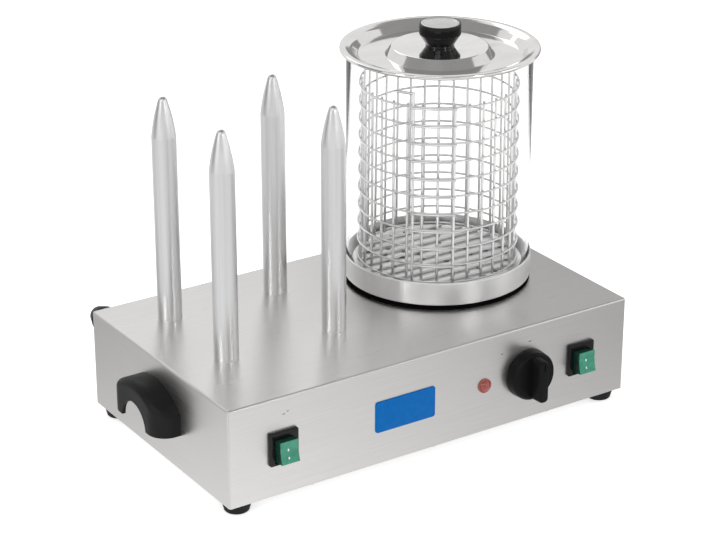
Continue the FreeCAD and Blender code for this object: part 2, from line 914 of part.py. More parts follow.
def make_gasket():
    """The seal under the dish, with holes for the dish studs."""
    outer = s.dish_radius - s.gasket_inset
    solid = ring("gasket_ring", outer, s.gasket_inner_radius, s.gasket_thickness, s.steamer_x, steamer_y, top_z)
    holes = []
    for name, x, y in dish_stud_places():
        radius = s.dish_stud_radius + s.hole_clearance
        holes.append(cylinder("gasket_hole_" + name, radius, s.gasket_thickness, x, y, top_z))
    sub_part(cut("gasket_cut", solid, *holes), "dish_gasket")


def make_dish():
    """The water dish: a raised ring, a floor, a sunken well, a clamp stud and four fixing studs."""
    wall = s.dish_wall
    stud_drop = s.heater_tube_radius * 2 + s.clamp_bar_thickness + s.clamp_nut_height + s.thread_tail
    pan = turned(
        "dish_pan",
        [
            (0, -s.well_depth - stud_drop),
            (s.clamp_stud_radius, -s.well_depth - stud_drop),
            (s.clamp_stud_radius, -s.well_depth),
            (s.well_radius, -s.well_depth),
            (s.well_radius, 0),
            (s.dish_radius, 0),
            (s.dish_radius, s.dish_height - wall / 2, wall / 2),
            (s.dish_radius - wall / 2, s.dish_height, wall / 2),
            (s.dish_radius - wall, s.dish_height - wall / 2),
            (s.dish_radius - wall, wall),
            (s.well_radius - wall, wall),
            (s.well_radius - wall, wall - s.well_depth),
            (0, wall - s.well_depth),
        ],
    )
    pieces = [place(pan, s.steamer_x, steamer_y, dish_z)]
    nuts = []
    for name, x, y in dish_stud_places():
        z = dish_z - s.dish_stud_length
        pieces.append(
            cylinder("dish_stud_" + name, s.dish_stud_radius, s.dish_stud_length + wall / 2, x, y, z)
        )
        nuts.append(
            nut("dish_nut_" + name, s.dish_nut_across, s.dish_nut_height, s.dish_stud_radius, x, y,
                under_top_z - s.dish_nut_height)
        )
    sub_part(fuse("dish", *pieces), "water_dish")
    sub_part(group("dish_nut_set", *nuts), "dish_nuts")


def make_dish_heater():
    """The tubular ring heater, pressed to the well by a bar and a nut."""
    tube_z = well_under_z - s.heater_tube_radius
    tube = s.heater_tube_radius * 2
    coil = ring_arc("heater_coil", s.heater_ring_radius, tube, 0, s.heater_ring_sweep, tube_z)
    pins = []
    for n, angle in enumerate((as_size(0), s.heater_ring_sweep)):
        x, y = around_steamer(s.heater_ring_radius, angle)
        z = tube_z - s.heater_pin_length
        pins.append(cylinder(f"heater_pin_{n}", s.heater_pin_radius, s.heater_pin_length, x, y, z))
    sub_part(fuse("ring_heater", coil, *pins), "dish_heater")

    bar_z = well_under_z - s.heater_tube_radius * 2 - s.clamp_bar_thickness
    bar = block("clamp_strip", s.clamp_bar_width, s.clamp_bar_length, s.clamp_bar_thickness,
                s.steamer_x, steamer_y, bar_z)
    hole = cylinder("clamp_hole", s.clamp_stud_radius + s.hole_clearance, s.clamp_bar_thickness,
                    s.steamer_x, steamer_y, bar_z)
    sub_part(cut("clamp_bar", bar, hole), "heater_clamp_bar")
    sub_part(
        nut("clamp_nut_piece", s.clamp_nut_across, s.clamp_nut_height, s.clamp_stud_radius, s.steamer_x,
            steamer_y, bar_z - s.clamp_nut_height),
        "heater_clamp_nut",
    )

    x = s.steamer_x + s.cutout_offset
    can = cylinder("cutout_can", s.cutout_radius, s.cutout_height, x, steamer_y, well_under_z - s.cutout_height)
    blades = []
    for side in (-1, 1):
        y = steamer_y + s.cutout_radius / 2 * side
        z = well_under_z - s.cutout_height - s.cutout_blade_height
        blades.append(
            block(f"cutout_blade_{side + 1}", s.blade_width, s.blade_thickness, s.cutout_blade_height, x, y, z)
        )
    sub_part(fuse("cutout", can, *blades), "thermal_cutout")


def make_steam_plate():
    """The perforated plate that stands in the dish on its skirt."""
    skirt_inner = s.plate_radius - s.plate_thickness
    top = s.plate_skirt_height + s.plate_thickness
    solid = turned(
        "plate_pressing",
        [
            (skirt_inner, 0),
            (s.plate_radius, 0),
            (s.plate_radius, top),
            (0, top),
            (0, s.plate_skirt_height),
            (skirt_inner, s.plate_skirt_height),
        ],
    )
    holes = []
    for ring_number, count in enumerate(PLATE_RING_HOLES, start=1):
        for n in range(count):
            angle = math.radians(360 * n / count)
            x = s.plate_ring_pitch * (ring_number * math.cos(angle))
            y = s.plate_ring_pitch * (ring_number * math.sin(angle))
            name = f"plate_hole_{ring_number}_{n}"
            holes.append(
                cylinder(name, s.plate_hole_radius, s.plate_thickness * 3, x, y,
                         s.plate_skirt_height - s.plate_thickness)
            )
    plate = cut("plate", solid, group("plate_holes", *holes))
    sub_part(place(plate, s.steamer_x, steamer_y, dish_floor_z), "steam_plate")


# ---------------------------------------------------------------------------------------------
# Glass cylinder and wire basket
# ---------------------------------------------------------------------------------------------


def make_glass():
    """The glass cylinder, which stands on the dish floor and carries the lid."""
    inner = s.glass_radius - s.glass_wall
    cone_drop = (s.lid_radius - s.lid_rim_width - inner) * s.lid_depth / (
        s.lid_radius - s.lid_rim_width - s.lid_floor_radius
    )
    top = lid_top_z - s.lid_sheet - cone_drop - s.seat_gap
    glass = ring("glass_tube", s.glass_radius, inner, top - dish_floor_z, s.steamer_x, steamer_y, dish_floor_z)
    sub_part(glass, "glass_cylinder")


def hoop_levels():
    """Number and height of each hoop, from the lowest up."""
    for n in range(HOOP_COUNT):
        yield n, base_hoop_z + s.basket_rise * (n / (HOOP_COUNT - 1))


def make_basket():
    """The welded basket: uprights inside hoops, and floor wires."""
    rods = []
    for n in range(BASKET_ROD_COUNT):
        x, y = around_steamer(rod_circle, s.basket_turn + 360 * n / BASKET_ROD_COUNT)
        rods.append(cylinder(f"basket_rod_{n}", s.rod_wire / 2, rod_top_z - rod_low_z, x, y, rod_low_z))
    sub_part(group("basket_rod_set", *rods), "basket_uprights")

    hoops = [ring_arc(f"basket_hoop_{n}", hoop_radius, s.hoop_wire, 0, 360, z) for n, z in hoop_levels()]
    sub_part(group("basket_hoop_set", *hoops), "basket_hoops")

    wires = []
    count = int(float(rod_circle) // float(s.floor_wire_pitch))
    for n in range(-count, count + 1):
        offset = s.floor_wire_pitch * n
        reach = root(hoop_radius * hoop_radius - offset * offset)
        wires.append(
            cylinder(f"floor_wire_{n + count}", s.rod_wire / 2, reach * 2, s.steamer_x - reach,
                     steamer_y + offset, basket_z + s.rod_wire / 2, TO_RIGHT)
        )
    sub_part(group("floor_wire_set", *wires), "basket_floor")


def make_basket_handle():
    """The ladder of wires up the outside of the basket: a hooked post, a plain post and rungs."""
    post_circle = s.basket_radius + s.rod_wire / 2
    rung_circle = s.basket_radius + s.rod_wire + s.hoop_wire / 2
    hook_z = rod_top_z + s.hook_rise
    x, y = around_steamer(post_circle, s.ladder_angle)
    post = cylinder("hooked_post", s.rod_wire / 2, hook_z - rod_low_z, x, y, rod_low_z)
    knuckle = bind(doc.addObject("Part::Sphere", "hook_knuckle"), Radius=s.rod_wire / 2)
    place(knuckle, x, y, hook_z)
    hook = ring_arc("hook_arc", post_circle, s.rod_wire, s.ladder_angle - s.hook_sweep, s.hook_sweep, hook_z)
    wires = [fuse("hooked_wire", post, knuckle, hook)]

    x, y = around_steamer(post_circle, s.ladder_angle + s.ladder_sweep)
    wires.append(cylinder("plain_post", s.rod_wire / 2, rod_top_z - rod_low_z, x, y, rod_low_z))
    start = s.ladder_angle - s.rung_end_sweep
    sweep = s.ladder_sweep + s.rung_end_sweep * 2
    for n, z in hoop_levels():
        wires.append(ring_arc(f"ladder_rung_{n}", rung_circle, s.hoop_wire, start, sweep, z))
    sub_part(group("ladder_wires", *wires), "basket_handle")


# ---------------------------------------------------------------------------------------------
# Lid and knob
# ---------------------------------------------------------------------------------------------


def make_lid():
    """The pressed lid: rolled rim, sunken channel and raised centre."""
    sheet = s.lid_sheet
    bead = s.lid_bead
    rim_inner = s.lid_radius - s.lid_rim_width
    bead_x = s.lid_radius - bead
    hole = s.lid_screw_radius + s.hole_clearance
    lid = turned(
        "lid_pressing",
        [
            (hole, -sheet),
            (s.lid_boss_radius, -sheet),
            (s.lid_boss_foot_radius, -s.lid_depth - sheet),
            (s.lid_floor_radius, -s.lid_depth - sheet),
            (rim_inner, -sheet),
            (bead_x - sheet, -sheet),
            (bead_x - sheet, -bead * 2),
            (bead_x, -bead * 2, bead),
            (s.lid_radius, -bead, bead),
            (bead_x, 0),
            (rim_inner, 0),
            (s.lid_floor_radius, -s.lid_depth),
            (s.lid_boss_foot_radius, -s.lid_depth),
            (s.lid_boss_radius, 0),
            (hole, 0),
        ],
    )
    sub_part(place(lid, s.steamer_x, steamer_y, lid_top_z), "lid")


def make_lid_knob():
    """The flared knob, its metal cap and the screw that holds it."""
    bore = s.lid_screw_radius + s.thread_clearance
    cap_floor = s.lid_knob_height - s.lid_knob_cap_thickness
    cap_hole = s.lid_knob_cap_radius + s.thread_clearance
    rim_z = s.lid_knob_height - s.lid_knob_rim
    knob = turned(
        "knob_turning",
        [
            (bore, 0),
            (s.lid_knob_neck_radius, 0),
            (s.lid_knob_neck_radius, rim_z - s.lid_knob_flare),
            (s.lid_knob_radius, rim_z),
            (s.lid_knob_radius, s.lid_knob_height),
            (cap_hole, s.lid_knob_height),
            (cap_hole, cap_floor),
            (0, cap_floor),
            (0, s.lid_screw_depth + s.thread_tail),
            (bore, s.lid_screw_depth + s.thread_tail),
        ],
    )
    sub_part(place(knob, s.steamer_x, steamer_y, lid_top_z), "lid_knob")
    sub_part(
        cylinder("knob_cap", s.lid_knob_cap_radius, s.lid_knob_cap_thickness, s.steamer_x, steamer_y,
                 lid_top_z + cap_floor),
        "lid_knob_cap",
    )
    sub_part(
        screw("knob_screw", s.lid_screw_head_radius, s.lid_screw_head_height, s.lid_screw_radius,
              s.lid_screw_depth + s.lid_sheet, s.steamer_x, steamer_y, lid_top_z - s.lid_sheet),
        "lid_knob_screw",
    )


# ---------------------------------------------------------------------------------------------
# Front panel controls
# ---------------------------------------------------------------------------------------------


def make_switch(name, x):
    """A switch housing clipped in the panel, with a rocker on two trunnions."""
    bezel_box = block(name + "_bezel_box", s.switch_width, s.switch_height, s.switch_bezel)
    bezel = rounded(name + "_bezel", bezel_box, is_along(UP), s.switch_corner)
    can = block(name + "_can", s.switch_body_width, s.switch_body_height, s.switch_body_depth,
                z=-s.switch_body_depth)
    window = block(name + "_window", s.switch_window_width, s.switch_window_height, s.switch_window_depth,
                   y=-s.rocker_drop, z=s.switch_bezel - s.switch_window_depth)
    pivot_z = s.switch_bezel - s.rocker_pivot_depth
    socket_reach = s.switch_window_width / 2 + s.trunnion_length + s.running_gap
    sockets = cylinder(name + "_sockets", s.trunnion_radius + s.running_gap, socket_reach * 2, -socket_reach,
                       -s.rocker_drop, pivot_z, TO_RIGHT)
    shell = cut(name + "_shell", fuse(name + "_blank", bezel, can), window, sockets)
    sub_part(place(shell, x, front_y, control_z, TO_FRONT), name + "_switch_housing")

    flare = s.rocker_half_height * turned_to(s.rocker_tilt, math.tan, "tan")
    face = extruded(
        name + "_rocker_face",
        "YZ_Plane",
        [
            (-s.rocker_half_height, -s.rocker_back_depth),
            (s.rocker_half_height, -s.rocker_back_depth),
            (s.rocker_half_height, s.rocker_face_height + flare),
            (0, s.rocker_face_height),
            (-s.rocker_half_height, s.rocker_face_height + flare),
        ],
        s.switch_window_width - s.rocker_side_gap * 2,
    )
    pin_reach = s.switch_window_width / 2 + s.trunnion_length - s.running_gap
    pin = cylinder(name + "_trunnions", s.trunnion_radius, pin_reach * 2, -pin_reach, 0, 0, TO_RIGHT)
    rocker = fuse(name + "_rocker_piece", face, pin)
    place(rocker, x, front_y - pivot_z, control_z - s.rocker_drop, TO_FRONT)
    bind(rocker, **{"Placement.Rotation.Angle": s.rocker_tilt * -1 + QUARTER_TURN})
    sub_part(rocker, name + "_switch_rocker")


def make_switch_blades():
    """The four tab terminals behind the switches."""
    blades = []
    y = front_y + s.switch_body_depth + s.blade_length / 2
    for name, x in (("spike", spike_switch_x), ("steamer", steamer_switch_x)):
        for row in (-1, 1):
            z = control_z + s.blade_spacing / 2 * row - s.blade_thickness / 2
            blades.append(
                block(f"{name}_blade_{row + 1}", s.blade_width, s.blade_length, s.blade_thickness, x, y, z)
            )
    sub_part(group("switch_blade_set", *blades), "switch_terminals")


def make_lamp():
    """The indicator lamp: lens outside, holder and nut behind the panel."""
    dome_arc = (s.lamp_dome_radius * s.lamp_dome_radius + s.lamp_dome_height * s.lamp_dome_height) / (
        s.lamp_dome_height * 2
    )
    lens = turned(
        "lamp_lens_turning",
        [
            (0, 0),
            (s.lamp_flange_radius, 0),
            (s.lamp_flange_radius, s.lamp_flange_height),
            (s.lamp_dome_radius, s.lamp_flange_height, dome_arc),
            (0, s.lamp_flange_height + s.lamp_dome_height),
        ],
    )
    sub_part(place(lens, lamp_x, front_y, control_z, TO_FRONT), "lamp_lens")
    holder_y = front_y + s.lamp_stem_length
    sub_part(
        cylinder("lamp_stem", s.lamp_stem_radius, s.lamp_stem_length, lamp_x, holder_y, control_z, TO_FRONT),
        "lamp_holder",
    )
    nut_y = front_y + s.sheet_thickness
    sub_part(
        nut("lamp_nut_piece", s.lamp_nut_across, s.lamp_nut_height, s.lamp_stem_radius, lamp_x, nut_y,
            control_z, TO_REAR),
        "lamp_nut",
    )


def make_badge():
    """The plain badge plate glued to the panel."""
    y = front_y - s.badge_thickness / 2
    z = control_z - s.badge_height / 2
    plate = block("badge_sheet", s.badge_width, s.badge_thickness, s.badge_height, s.badge_x, y, z)
    sub_part(rounded("badge", plate, is_along(ALONG_Y), s.badge_corner), "badge_plate")


def make_dial():
    """The thermostat knob and the shaft that it turns."""
    skirt_top = s.dial_gap + s.dial_skirt_height
    skirt = turned(
        "dial_skirt",
        [
            (0, s.dial_gap),
            (s.dial_radius, s.dial_gap),
            (s.dial_radius, skirt_top - s.dial_edge),
            (s.dial_radius - s.dial_edge, skirt_top),
            (0, skirt_top),
        ],
    )
    bar = block("dial_bar", s.dial_grip_width, s.dial_grip_length, s.dial_grip_height + s.dial_edge,
                z=skirt_top - s.dial_edge)
    grip = rounded("dial_grip", bar, is_along(UP), s.dial_grip_round)
    hollow = cylinder("dial_hollow", s.dial_hollow_radius, s.dial_hollow_depth, z=s.dial_gap)
    bore = cylinder("dial_bore", s.shaft_radius + s.thread_clearance, s.shaft_depth_in_dial, z=s.dial_gap)
    knob = cut("dial", fuse("dial_blank", skirt, grip), hollow, bore)
    sub_part(place(knob, dial_x, front_y, control_z, TO_FRONT), "thermostat_knob")

    shaft_inside = s.sheet_thickness + s.thermostat_depth / 2
    length = shaft_inside + s.dial_gap + s.shaft_depth_in_dial
    sub_part(
        cylinder("dial_shaft", s.shaft_radius, length, dial_x, front_y + shaft_inside, control_z, TO_FRONT),
        "thermostat_shaft",
    )


def make_thermostat():
    """The capillary thermostat behind the panel, its two screws, and the bulb under the dish."""
    y = front_y + s.sheet_thickness + s.thermostat_depth / 2
    can = block("thermostat_can", s.thermostat_width, s.thermostat_depth, s.thermostat_height, dial_x, y,
                control_z - s.thermostat_height / 2)
    depth = s.thermostat_depth / 2 + s.running_gap
    bores = [
        cylinder("shaft_socket", s.shaft_radius + s.running_gap, depth, dial_x,
                 front_y + s.sheet_thickness + depth, control_z, TO_FRONT)
    ]
    screws = []
    for side in (-1, 1):
        x = dial_x + s.thermostat_screw_spacing / 2 * side
        reach = s.sheet_thickness + s.thermostat_screw_reach
        bores.append(
            cylinder(f"thermostat_bore_{side + 1}", s.thermostat_screw_radius + s.thread_clearance, reach, x,
                     front_y + s.sheet_thickness + reach, control_z, TO_FRONT)
        )
        screws.append(
            screw(f"thermostat_screw_{side + 1}", s.thermostat_screw_head_radius,
                  s.thermostat_screw_head_height, s.thermostat_screw_radius, reach, x, front_y, control_z,
                  TO_REAR)
        )
    sub_part(cut("thermostat_body", can, *bores), "thermostat_body")
    sub_part(group("thermostat_screw_set", *screws), "thermostat_screws")

    bulb_z = well_under_z - s.bulb_radius
    bulb_x = s.steamer_x + s.bulb_offset
    bulb_y = steamer_y - s.bulb_length / 2
    bulb = cylinder("sensor_bulb", s.bulb_radius, s.bulb_length, bulb_x, bulb_y, bulb_z, TO_REAR)
    sub_part(bulb, "thermostat_bulb")
    back_y = front_y + s.sheet_thickness + s.thermostat_depth
    low_z = control_z - s.thermostat_height / 4
    turn_y = bulb_y - s.capillary_lead
    sub_part(
        traced(
            "capillary",
            [
                (bulb_x, bulb_y, bulb_z),
                (bulb_x, turn_y, bulb_z),
                (bulb_x, turn_y, low_z),
                (bulb_x, back_y, low_z),
            ],
            s.capillary_radius,
            s.capillary_bend,
        ),
        "thermostat_capillary",
    )


# ---------------------------------------------------------------------------------------------
# Handles, gland and terminals
# ---------------------------------------------------------------------------------------------


def handle_prism(name, inset, height):
    """The plan of a handle raised to a height: square at the wall, rounded at its outer corners."""
    reach = s.handle_reach - inset
    solid = block(name + "_box", reach, s.handle_length - inset * 2, height, reach / 2)

    def is_outer_corner(edge):
        return is_along(UP)(edge) and edge.BoundBox.XMin > 1

    return rounded(name, solid, is_outer_corner, s.handle_corner - inset)


def make_handle(name, side):
    """A cup-shaped handle: a crowned grip above a finger pocket, whose outer lip is arched."""
    prefix = f"{name}_handle"
    half = s.handle_length / 2
    side_height = s.handle_height - s.handle_crown + root(s.handle_crown * s.handle_crown - half * half)
    crown = extruded(
        prefix + "_crown",
        "YZ_Plane",
        [(-half, 0), (half, 0), (half, side_height, s.handle_crown), (-half, side_height)],
        s.handle_reach * 2,
    )
    plan = handle_prism(prefix + "_plan", as_size(0), s.handle_height)
    blank = doc.addObject("Part::MultiCommon", prefix + "_blank")
    blank.Shapes = [plan, crown]

    def is_crease(edge):
        box = edge.BoundBox
        return box.ZMin > float(side_height) - 0.01 and box.XMax > 0.01

    soft = rounded(prefix + "_soft", blank, is_crease, s.handle_edge)
    pocket = handle_prism(prefix + "_pocket", s.handle_wall, s.handle_grip_height)
    rise = s.handle_grip_height
    arch_radius = (s.handle_arch_width * s.handle_arch_width / 4 + rise * rise) / (rise * 2)
    arch = cylinder(prefix + "_arch", arch_radius, s.handle_reach * 2, 0, 0, rise - arch_radius, TO_RIGHT)
    tools = [pocket, arch]
    for row in (-1, 1):
        tools.append(
            cylinder(f"{prefix}_bore_{row + 1}", s.handle_screw_radius + s.thread_clearance,
                     s.handle_screw_depth + s.thread_tail, 0, s.handle_screw_spacing / 2 * row,
                     s.handle_screw_height - s.handle_foot_height, TO_RIGHT)
        )
    handle = cut(prefix, soft, *tools)
    facing = UPRIGHT if side > 0 else (UP, HALF_TURN)
    place(handle, half_width * side, middle_y + s.handle_y, shell_z + s.handle_foot_height, facing)
    sub_part(handle, prefix)


def make_handle_screws():
    """The screws that reach the handles through the side walls, from inside."""
    screws = []
    for name, side, y in handle_screw_places():
        x = (half_width - s.sheet_thickness) * side
        facing = TO_RIGHT if side > 0 else TO_LEFT
        screws.append(
            screw("handle_screw_" + name, s.handle_screw_head_radius, s.handle_screw_head_height,
                  s.handle_screw_radius, s.handle_screw_depth + s.sheet_thickness, x, y,
                  shell_z + s.handle_screw_height, facing)
        )
    sub_part(group("handle_screw_set", *screws), "handle_screws")


def make_gland():
    """The cable gland in the rear wall, and its nut inside."""
    gland = turned(
        "gland_turning",
        [
            (s.gland_bore_radius, -s.gland_stem_length),
            (s.gland_stem_radius, -s.gland_stem_length),
            (s.gland_stem_radius, 0),
            (s.gland_radius, 0),
            (s.gland_radius, s.gland_collar),
            (s.gland_dome_radius, s.gland_projection),
            (s.gland_bore_radius, s.gland_projection),
        ],
    )
    z = shell_z + s.gland_height
    sub_part(place(gland, gland_x, rear_y, z, TO_REAR), "cable_gland")
    sub_part(
        nut("gland_nut_piece", s.gland_nut_across, s.gland_nut_height, s.gland_stem_radius, gland_x,
            rear_y - s.sheet_thickness, z, TO_FRONT),
        "gland_nut",
    )


def terminal_fixing_places():
    """X of the two screws that hold the terminal block."""
    reach = s.terminal_width / 2 - s.terminal_fixing_inset
    return [terminal_x + reach * side for side in (-1, 1)]


def make_terminals():
    """The terminal block with its clamping screws, and the earth stud beside it."""
    y = terminal_y
    solid = block("terminal_body", s.terminal_width, s.terminal_depth, s.terminal_height, terminal_x, y,
                  shell_z)
    well_z = shell_z + s.terminal_height - s.terminal_well_depth
    tools = []
    screws = []
    for column in (-1, 0, 1):
        x = terminal_x + s.terminal_pitch * column
        reach = s.terminal_depth / 2
        tools.append(
            cylinder(f"wire_way_{column + 1}", s.terminal_wire_radius, s.terminal_depth, x, y - reach,
                     shell_z + s.terminal_wire_height, TO_REAR)
        )
        for row in (-1, 1):
            name = f"{column + 1}_{row + 1}"
            well_y = y + s.terminal_depth / 4 * row
            tools.append(
                cylinder("terminal_well_" + name, s.terminal_well_radius, s.terminal_well_depth, x, well_y,
                         well_z)
            )
            screws.append(
                cylinder("terminal_screw_" + name, s.terminal_well_radius - s.thread_clearance,
                         s.terminal_screw_height, x, well_y, well_z)
            )
    fixings = []
    for n, x in enumerate(terminal_fixing_places()):
        radius = s.terminal_fixing_radius + s.thread_clearance
        tools.append(cylinder(f"fixing_way_{n}", radius, s.terminal_height, x, y, shell_z))
        head_z = shell_z + s.terminal_height
        length = s.terminal_height + s.base_thickness
        fixings.append(
            screw(f"terminal_fixing_{n}", s.terminal_fixing_head_radius, s.terminal_fixing_head_height,
                  s.terminal_fixing_radius, length, x, y, head_z, UPSIDE_DOWN)
        )
    sub_part(cut("terminal", solid, *tools), "terminal_block")
    sub_part(group("terminal_screw_set", *screws), "terminal_screws")
    sub_part(group("terminal_fixing_set", *fixings), "terminal_fixings")

    y = earth_y
    length = s.base_thickness + s.earth_length
    sub_part(
        screw("earth_bolt", s.earth_head_radius, s.earth_head_height, s.earth_radius, length, earth_x, y,
              s.foot_height),
        "earth_stud",
    )
    sub_part(
        nut("earth_nut_piece", s.earth_nut_across, s.earth_nut_height, s.earth_radius, earth_x, y, shell_z),
        "earth_nut",
    )


def make_wiring():
    """Wires between the terminal block, the switches, the thermostat and the heaters."""
    blade_y = front_y + s.switch_body_depth + s.blade_length
    turn_y = blade_y + s.wire_lead
    low_blade_z = control_z - s.blade_spacing / 2
    high_blade_z = control_z + s.blade_spacing / 2
    way_z = shell_z + s.terminal_wire_height
    way_front_y = terminal_y - s.terminal_depth / 2
    in_front_y = way_front_y + s.wire_grip
    in_rear_y = way_front_y + s.terminal_depth - s.wire_grip
    left_way_x = terminal_x - s.terminal_pitch
    right_way_x = terminal_x + s.terminal_pitch
    lane_y = way_front_y - s.mains_lane_gap
    back_y = front_y + s.sheet_thickness + s.thermostat_depth
    heater_z = top_z - s.spike_spigot_length + s.spike_heater_recess
    left_x = s.spike_centre_x - s.spike_spacing_x / 2
    right_x = s.spike_centre_x + s.spike_spacing_x / 2
    spike_front_y = spike_middle_y - s.spike_spacing_y / 2
    spike_rear_y = spike_middle_y + s.spike_spacing_y / 2
    lead = s.heater_lead_offset
    pin_z = well_under_z - s.heater_tube_radius - s.heater_pin_length
    pin_x = s.steamer_x + s.heater_ring_radius
    far_pin_x, far_pin_y = around_steamer(s.heater_ring_radius, s.heater_ring_sweep)
    spike_z = shell_z + s.spike_lane_height
    spike_low_z = spike_z - s.wire_lead / 2
    return_z = shell_z + s.return_lane_height
    mains_z = shell_z + s.mains_lane_height
    lead_x = dial_x + s.thermostat_lead_spacing
    far_lead_x = lead_x + s.thermostat_lead_spacing
    low_lead_z = high_blade_z - s.wire_lead / 2
    routes = [
        [
            (left_way_x, in_front_y, way_z),
            (spike_switch_x, turn_y, way_z),
            (spike_switch_x, turn_y, low_blade_z),
            (spike_switch_x, blade_y, low_blade_z),
        ],
        [
            (right_way_x, in_front_y, way_z),
            (right_way_x, lane_y, way_z),
            (steamer_switch_x, lane_y, way_z),
            (steamer_switch_x, turn_y, way_z),
            (steamer_switch_x, turn_y, low_blade_z),
            (steamer_switch_x, blade_y, low_blade_z),
        ],
        [
            (steamer_switch_x, blade_y, high_blade_z),
            (steamer_switch_x, turn_y, high_blade_z),
            (lead_x, turn_y, high_blade_z),
            (lead_x, back_y, high_blade_z),
        ],
        [
            (far_lead_x, back_y, low_lead_z),
            (far_lead_x, turn_y + s.wire_lead, low_lead_z),
            (far_pin_x, turn_y + s.wire_lead, low_lead_z),
            (far_pin_x, far_pin_y, low_lead_z),
            (far_pin_x, far_pin_y, pin_z),
        ],
        [
            (pin_x, steamer_y, pin_z),
            (pin_x, steamer_y, mains_z),
            (terminal_x, steamer_y, mains_z),
            (terminal_x, steamer_y, way_z),
            (terminal_x, in_front_y, way_z),
        ],
        [
            (spike_switch_x, blade_y, high_blade_z),
            (spike_switch_x, turn_y, high_blade_z),
            (left_x - lead, spike_front_y, high_blade_z),
            (left_x - lead, spike_front_y, heater_z),
        ],
        [
            (left_x + lead, spike_front_y, heater_z),
            (left_x + lead, spike_front_y, spike_z),
            (left_x + lead, spike_rear_y, spike_z),
            (left_x + lead, spike_rear_y, heater_z),
        ],
        [
            (left_x - lead, spike_rear_y, heater_z),
            (left_x - lead, spike_rear_y, spike_low_z),
            (right_x - lead, spike_rear_y, spike_low_z),
            (right_x - lead, spike_rear_y, heater_z),
        ],
        [
            (right_x + lead, spike_rear_y, heater_z),
            (right_x + lead, spike_rear_y, spike_z),
            (right_x + lead, spike_front_y, spike_z),
            (right_x + lead, spike_front_y, heater_z),
        ],
        [
            (right_x - lead, spike_front_y, heater_z),
            (right_x - lead, spike_front_y, return_z),
            (right_x - lead, in_rear_y + s.wire_lead, return_z),
            (terminal_x, in_rear_y + s.wire_lead, return_z),
            (terminal_x, in_rear_y + s.wire_lead, way_z),
            (terminal_x, in_rear_y, way_z),
        ],
    ]
    wires = [traced(f"wire_{n}", route, s.wire_radius, s.wire_bend) for n, route in enumerate(routes)]
    sub_part(group("wire_set", *wires), "wiring")


# ---------------------------------------------------------------------------------------------
# Build, check and write
# ---------------------------------------------------------------------------------------------


def write_parts():
    """Check every object and every sub-part, then write one STEP file for each sub-part."""
    doc.recompute()
    for thing in doc.Objects:
        if "Invalid" in thing.State or "Error" in thing.State:
            raise RuntimeError(f"{thing.Name} did not compute: {thing.State}")
    for thing in sub_parts:
        if thing.Shape.isNull() or not thing.Shape.isValid() or not thing.Shape.Solids:
            raise RuntimeError(f"{thing.Label} has no valid solid")
    os.makedirs("parts", exist_ok=True)
    for thing in sub_parts:
        thing.Shape.exportStep(f"parts/{thing.Label}.step")
    print(len(sub_parts), "sub-parts written")


make_housing()
make_base()
make_feet()
make_spikes()
make_gasket()
make_dish()
make_dish_heater()
make_steam_plate()
make_glass()
make_basket()
make_basket_handle()
make_lid()
make_lid_knob()
make_switch("spike", spike_switch_x)
make_switch("steamer", steamer_switch_x)
make_switch_blades()
make_lamp()
make_badge()
make_dial()
make_thermostat()
make_handle("left", -1)
make_handle("right", 1)
make_handle_screws()
make_gland()
make_terminals()
make_wiring()
write_parts()
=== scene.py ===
"""Hot dog toaster: the look of every piece, the plain studio and the camera.

Every length in this file is in millimetres until it goes through mm() or a mesh helper, which
turn it into metres. The frame is the model's own: X along the front, Y to the rear, Z up.
"""

import math

import bmesh
import bpy
from mathutils import Matrix, Vector


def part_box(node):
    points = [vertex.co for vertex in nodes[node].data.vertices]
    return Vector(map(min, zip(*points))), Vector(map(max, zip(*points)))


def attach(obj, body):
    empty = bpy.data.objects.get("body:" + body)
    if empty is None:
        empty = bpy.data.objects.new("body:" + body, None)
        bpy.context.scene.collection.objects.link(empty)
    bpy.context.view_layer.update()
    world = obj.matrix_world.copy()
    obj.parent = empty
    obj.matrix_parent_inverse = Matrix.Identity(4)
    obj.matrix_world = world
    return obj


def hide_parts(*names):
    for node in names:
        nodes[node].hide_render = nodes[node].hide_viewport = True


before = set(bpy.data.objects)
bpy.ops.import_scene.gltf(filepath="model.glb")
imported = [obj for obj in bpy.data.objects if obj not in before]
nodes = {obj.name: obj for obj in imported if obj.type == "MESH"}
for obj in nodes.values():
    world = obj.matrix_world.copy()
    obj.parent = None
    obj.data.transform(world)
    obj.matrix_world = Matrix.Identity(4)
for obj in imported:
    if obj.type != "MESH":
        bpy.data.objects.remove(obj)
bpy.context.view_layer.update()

MM = 0.001
FACING_LIMIT = 0.7  # a surface faces an axis where its normal is at least this long along it
SHARP_ANGLE = math.radians(30)  # edges sharper than this are not smoothed


def mm(*values):
    """A vector in metres from millimetres."""
    return Vector([value * MM for value in values])


def box_mm(node):
    """A node's lowest and highest corner in millimetres."""
    low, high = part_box(node)
    return low / MM, high / MM


# ---------------------------------------------------------------------------------------------
# Places read from the frame
# ---------------------------------------------------------------------------------------------

shell_low, shell_high = box_mm("housing_shell")
glass_low, glass_high = box_mm("glass_cylinder")
dish_low, dish_high = box_mm("water_dish")
gasket_top = box_mm("dish_gasket")[1].z
lid_low, lid_high = box_mm("lid")
front_y = shell_low.y
middle_y = (front_y + shell_high.y) / 2
steamer = Vector(((glass_low.x + glass_high.x) / 2, (glass_low.y + glass_high.y) / 2, 0))
badge_low, badge_high = box_mm("badge_plate")
control_z = (badge_low.z + badge_high.z) / 2


# ---------------------------------------------------------------------------------------------
# Node materials
# ---------------------------------------------------------------------------------------------


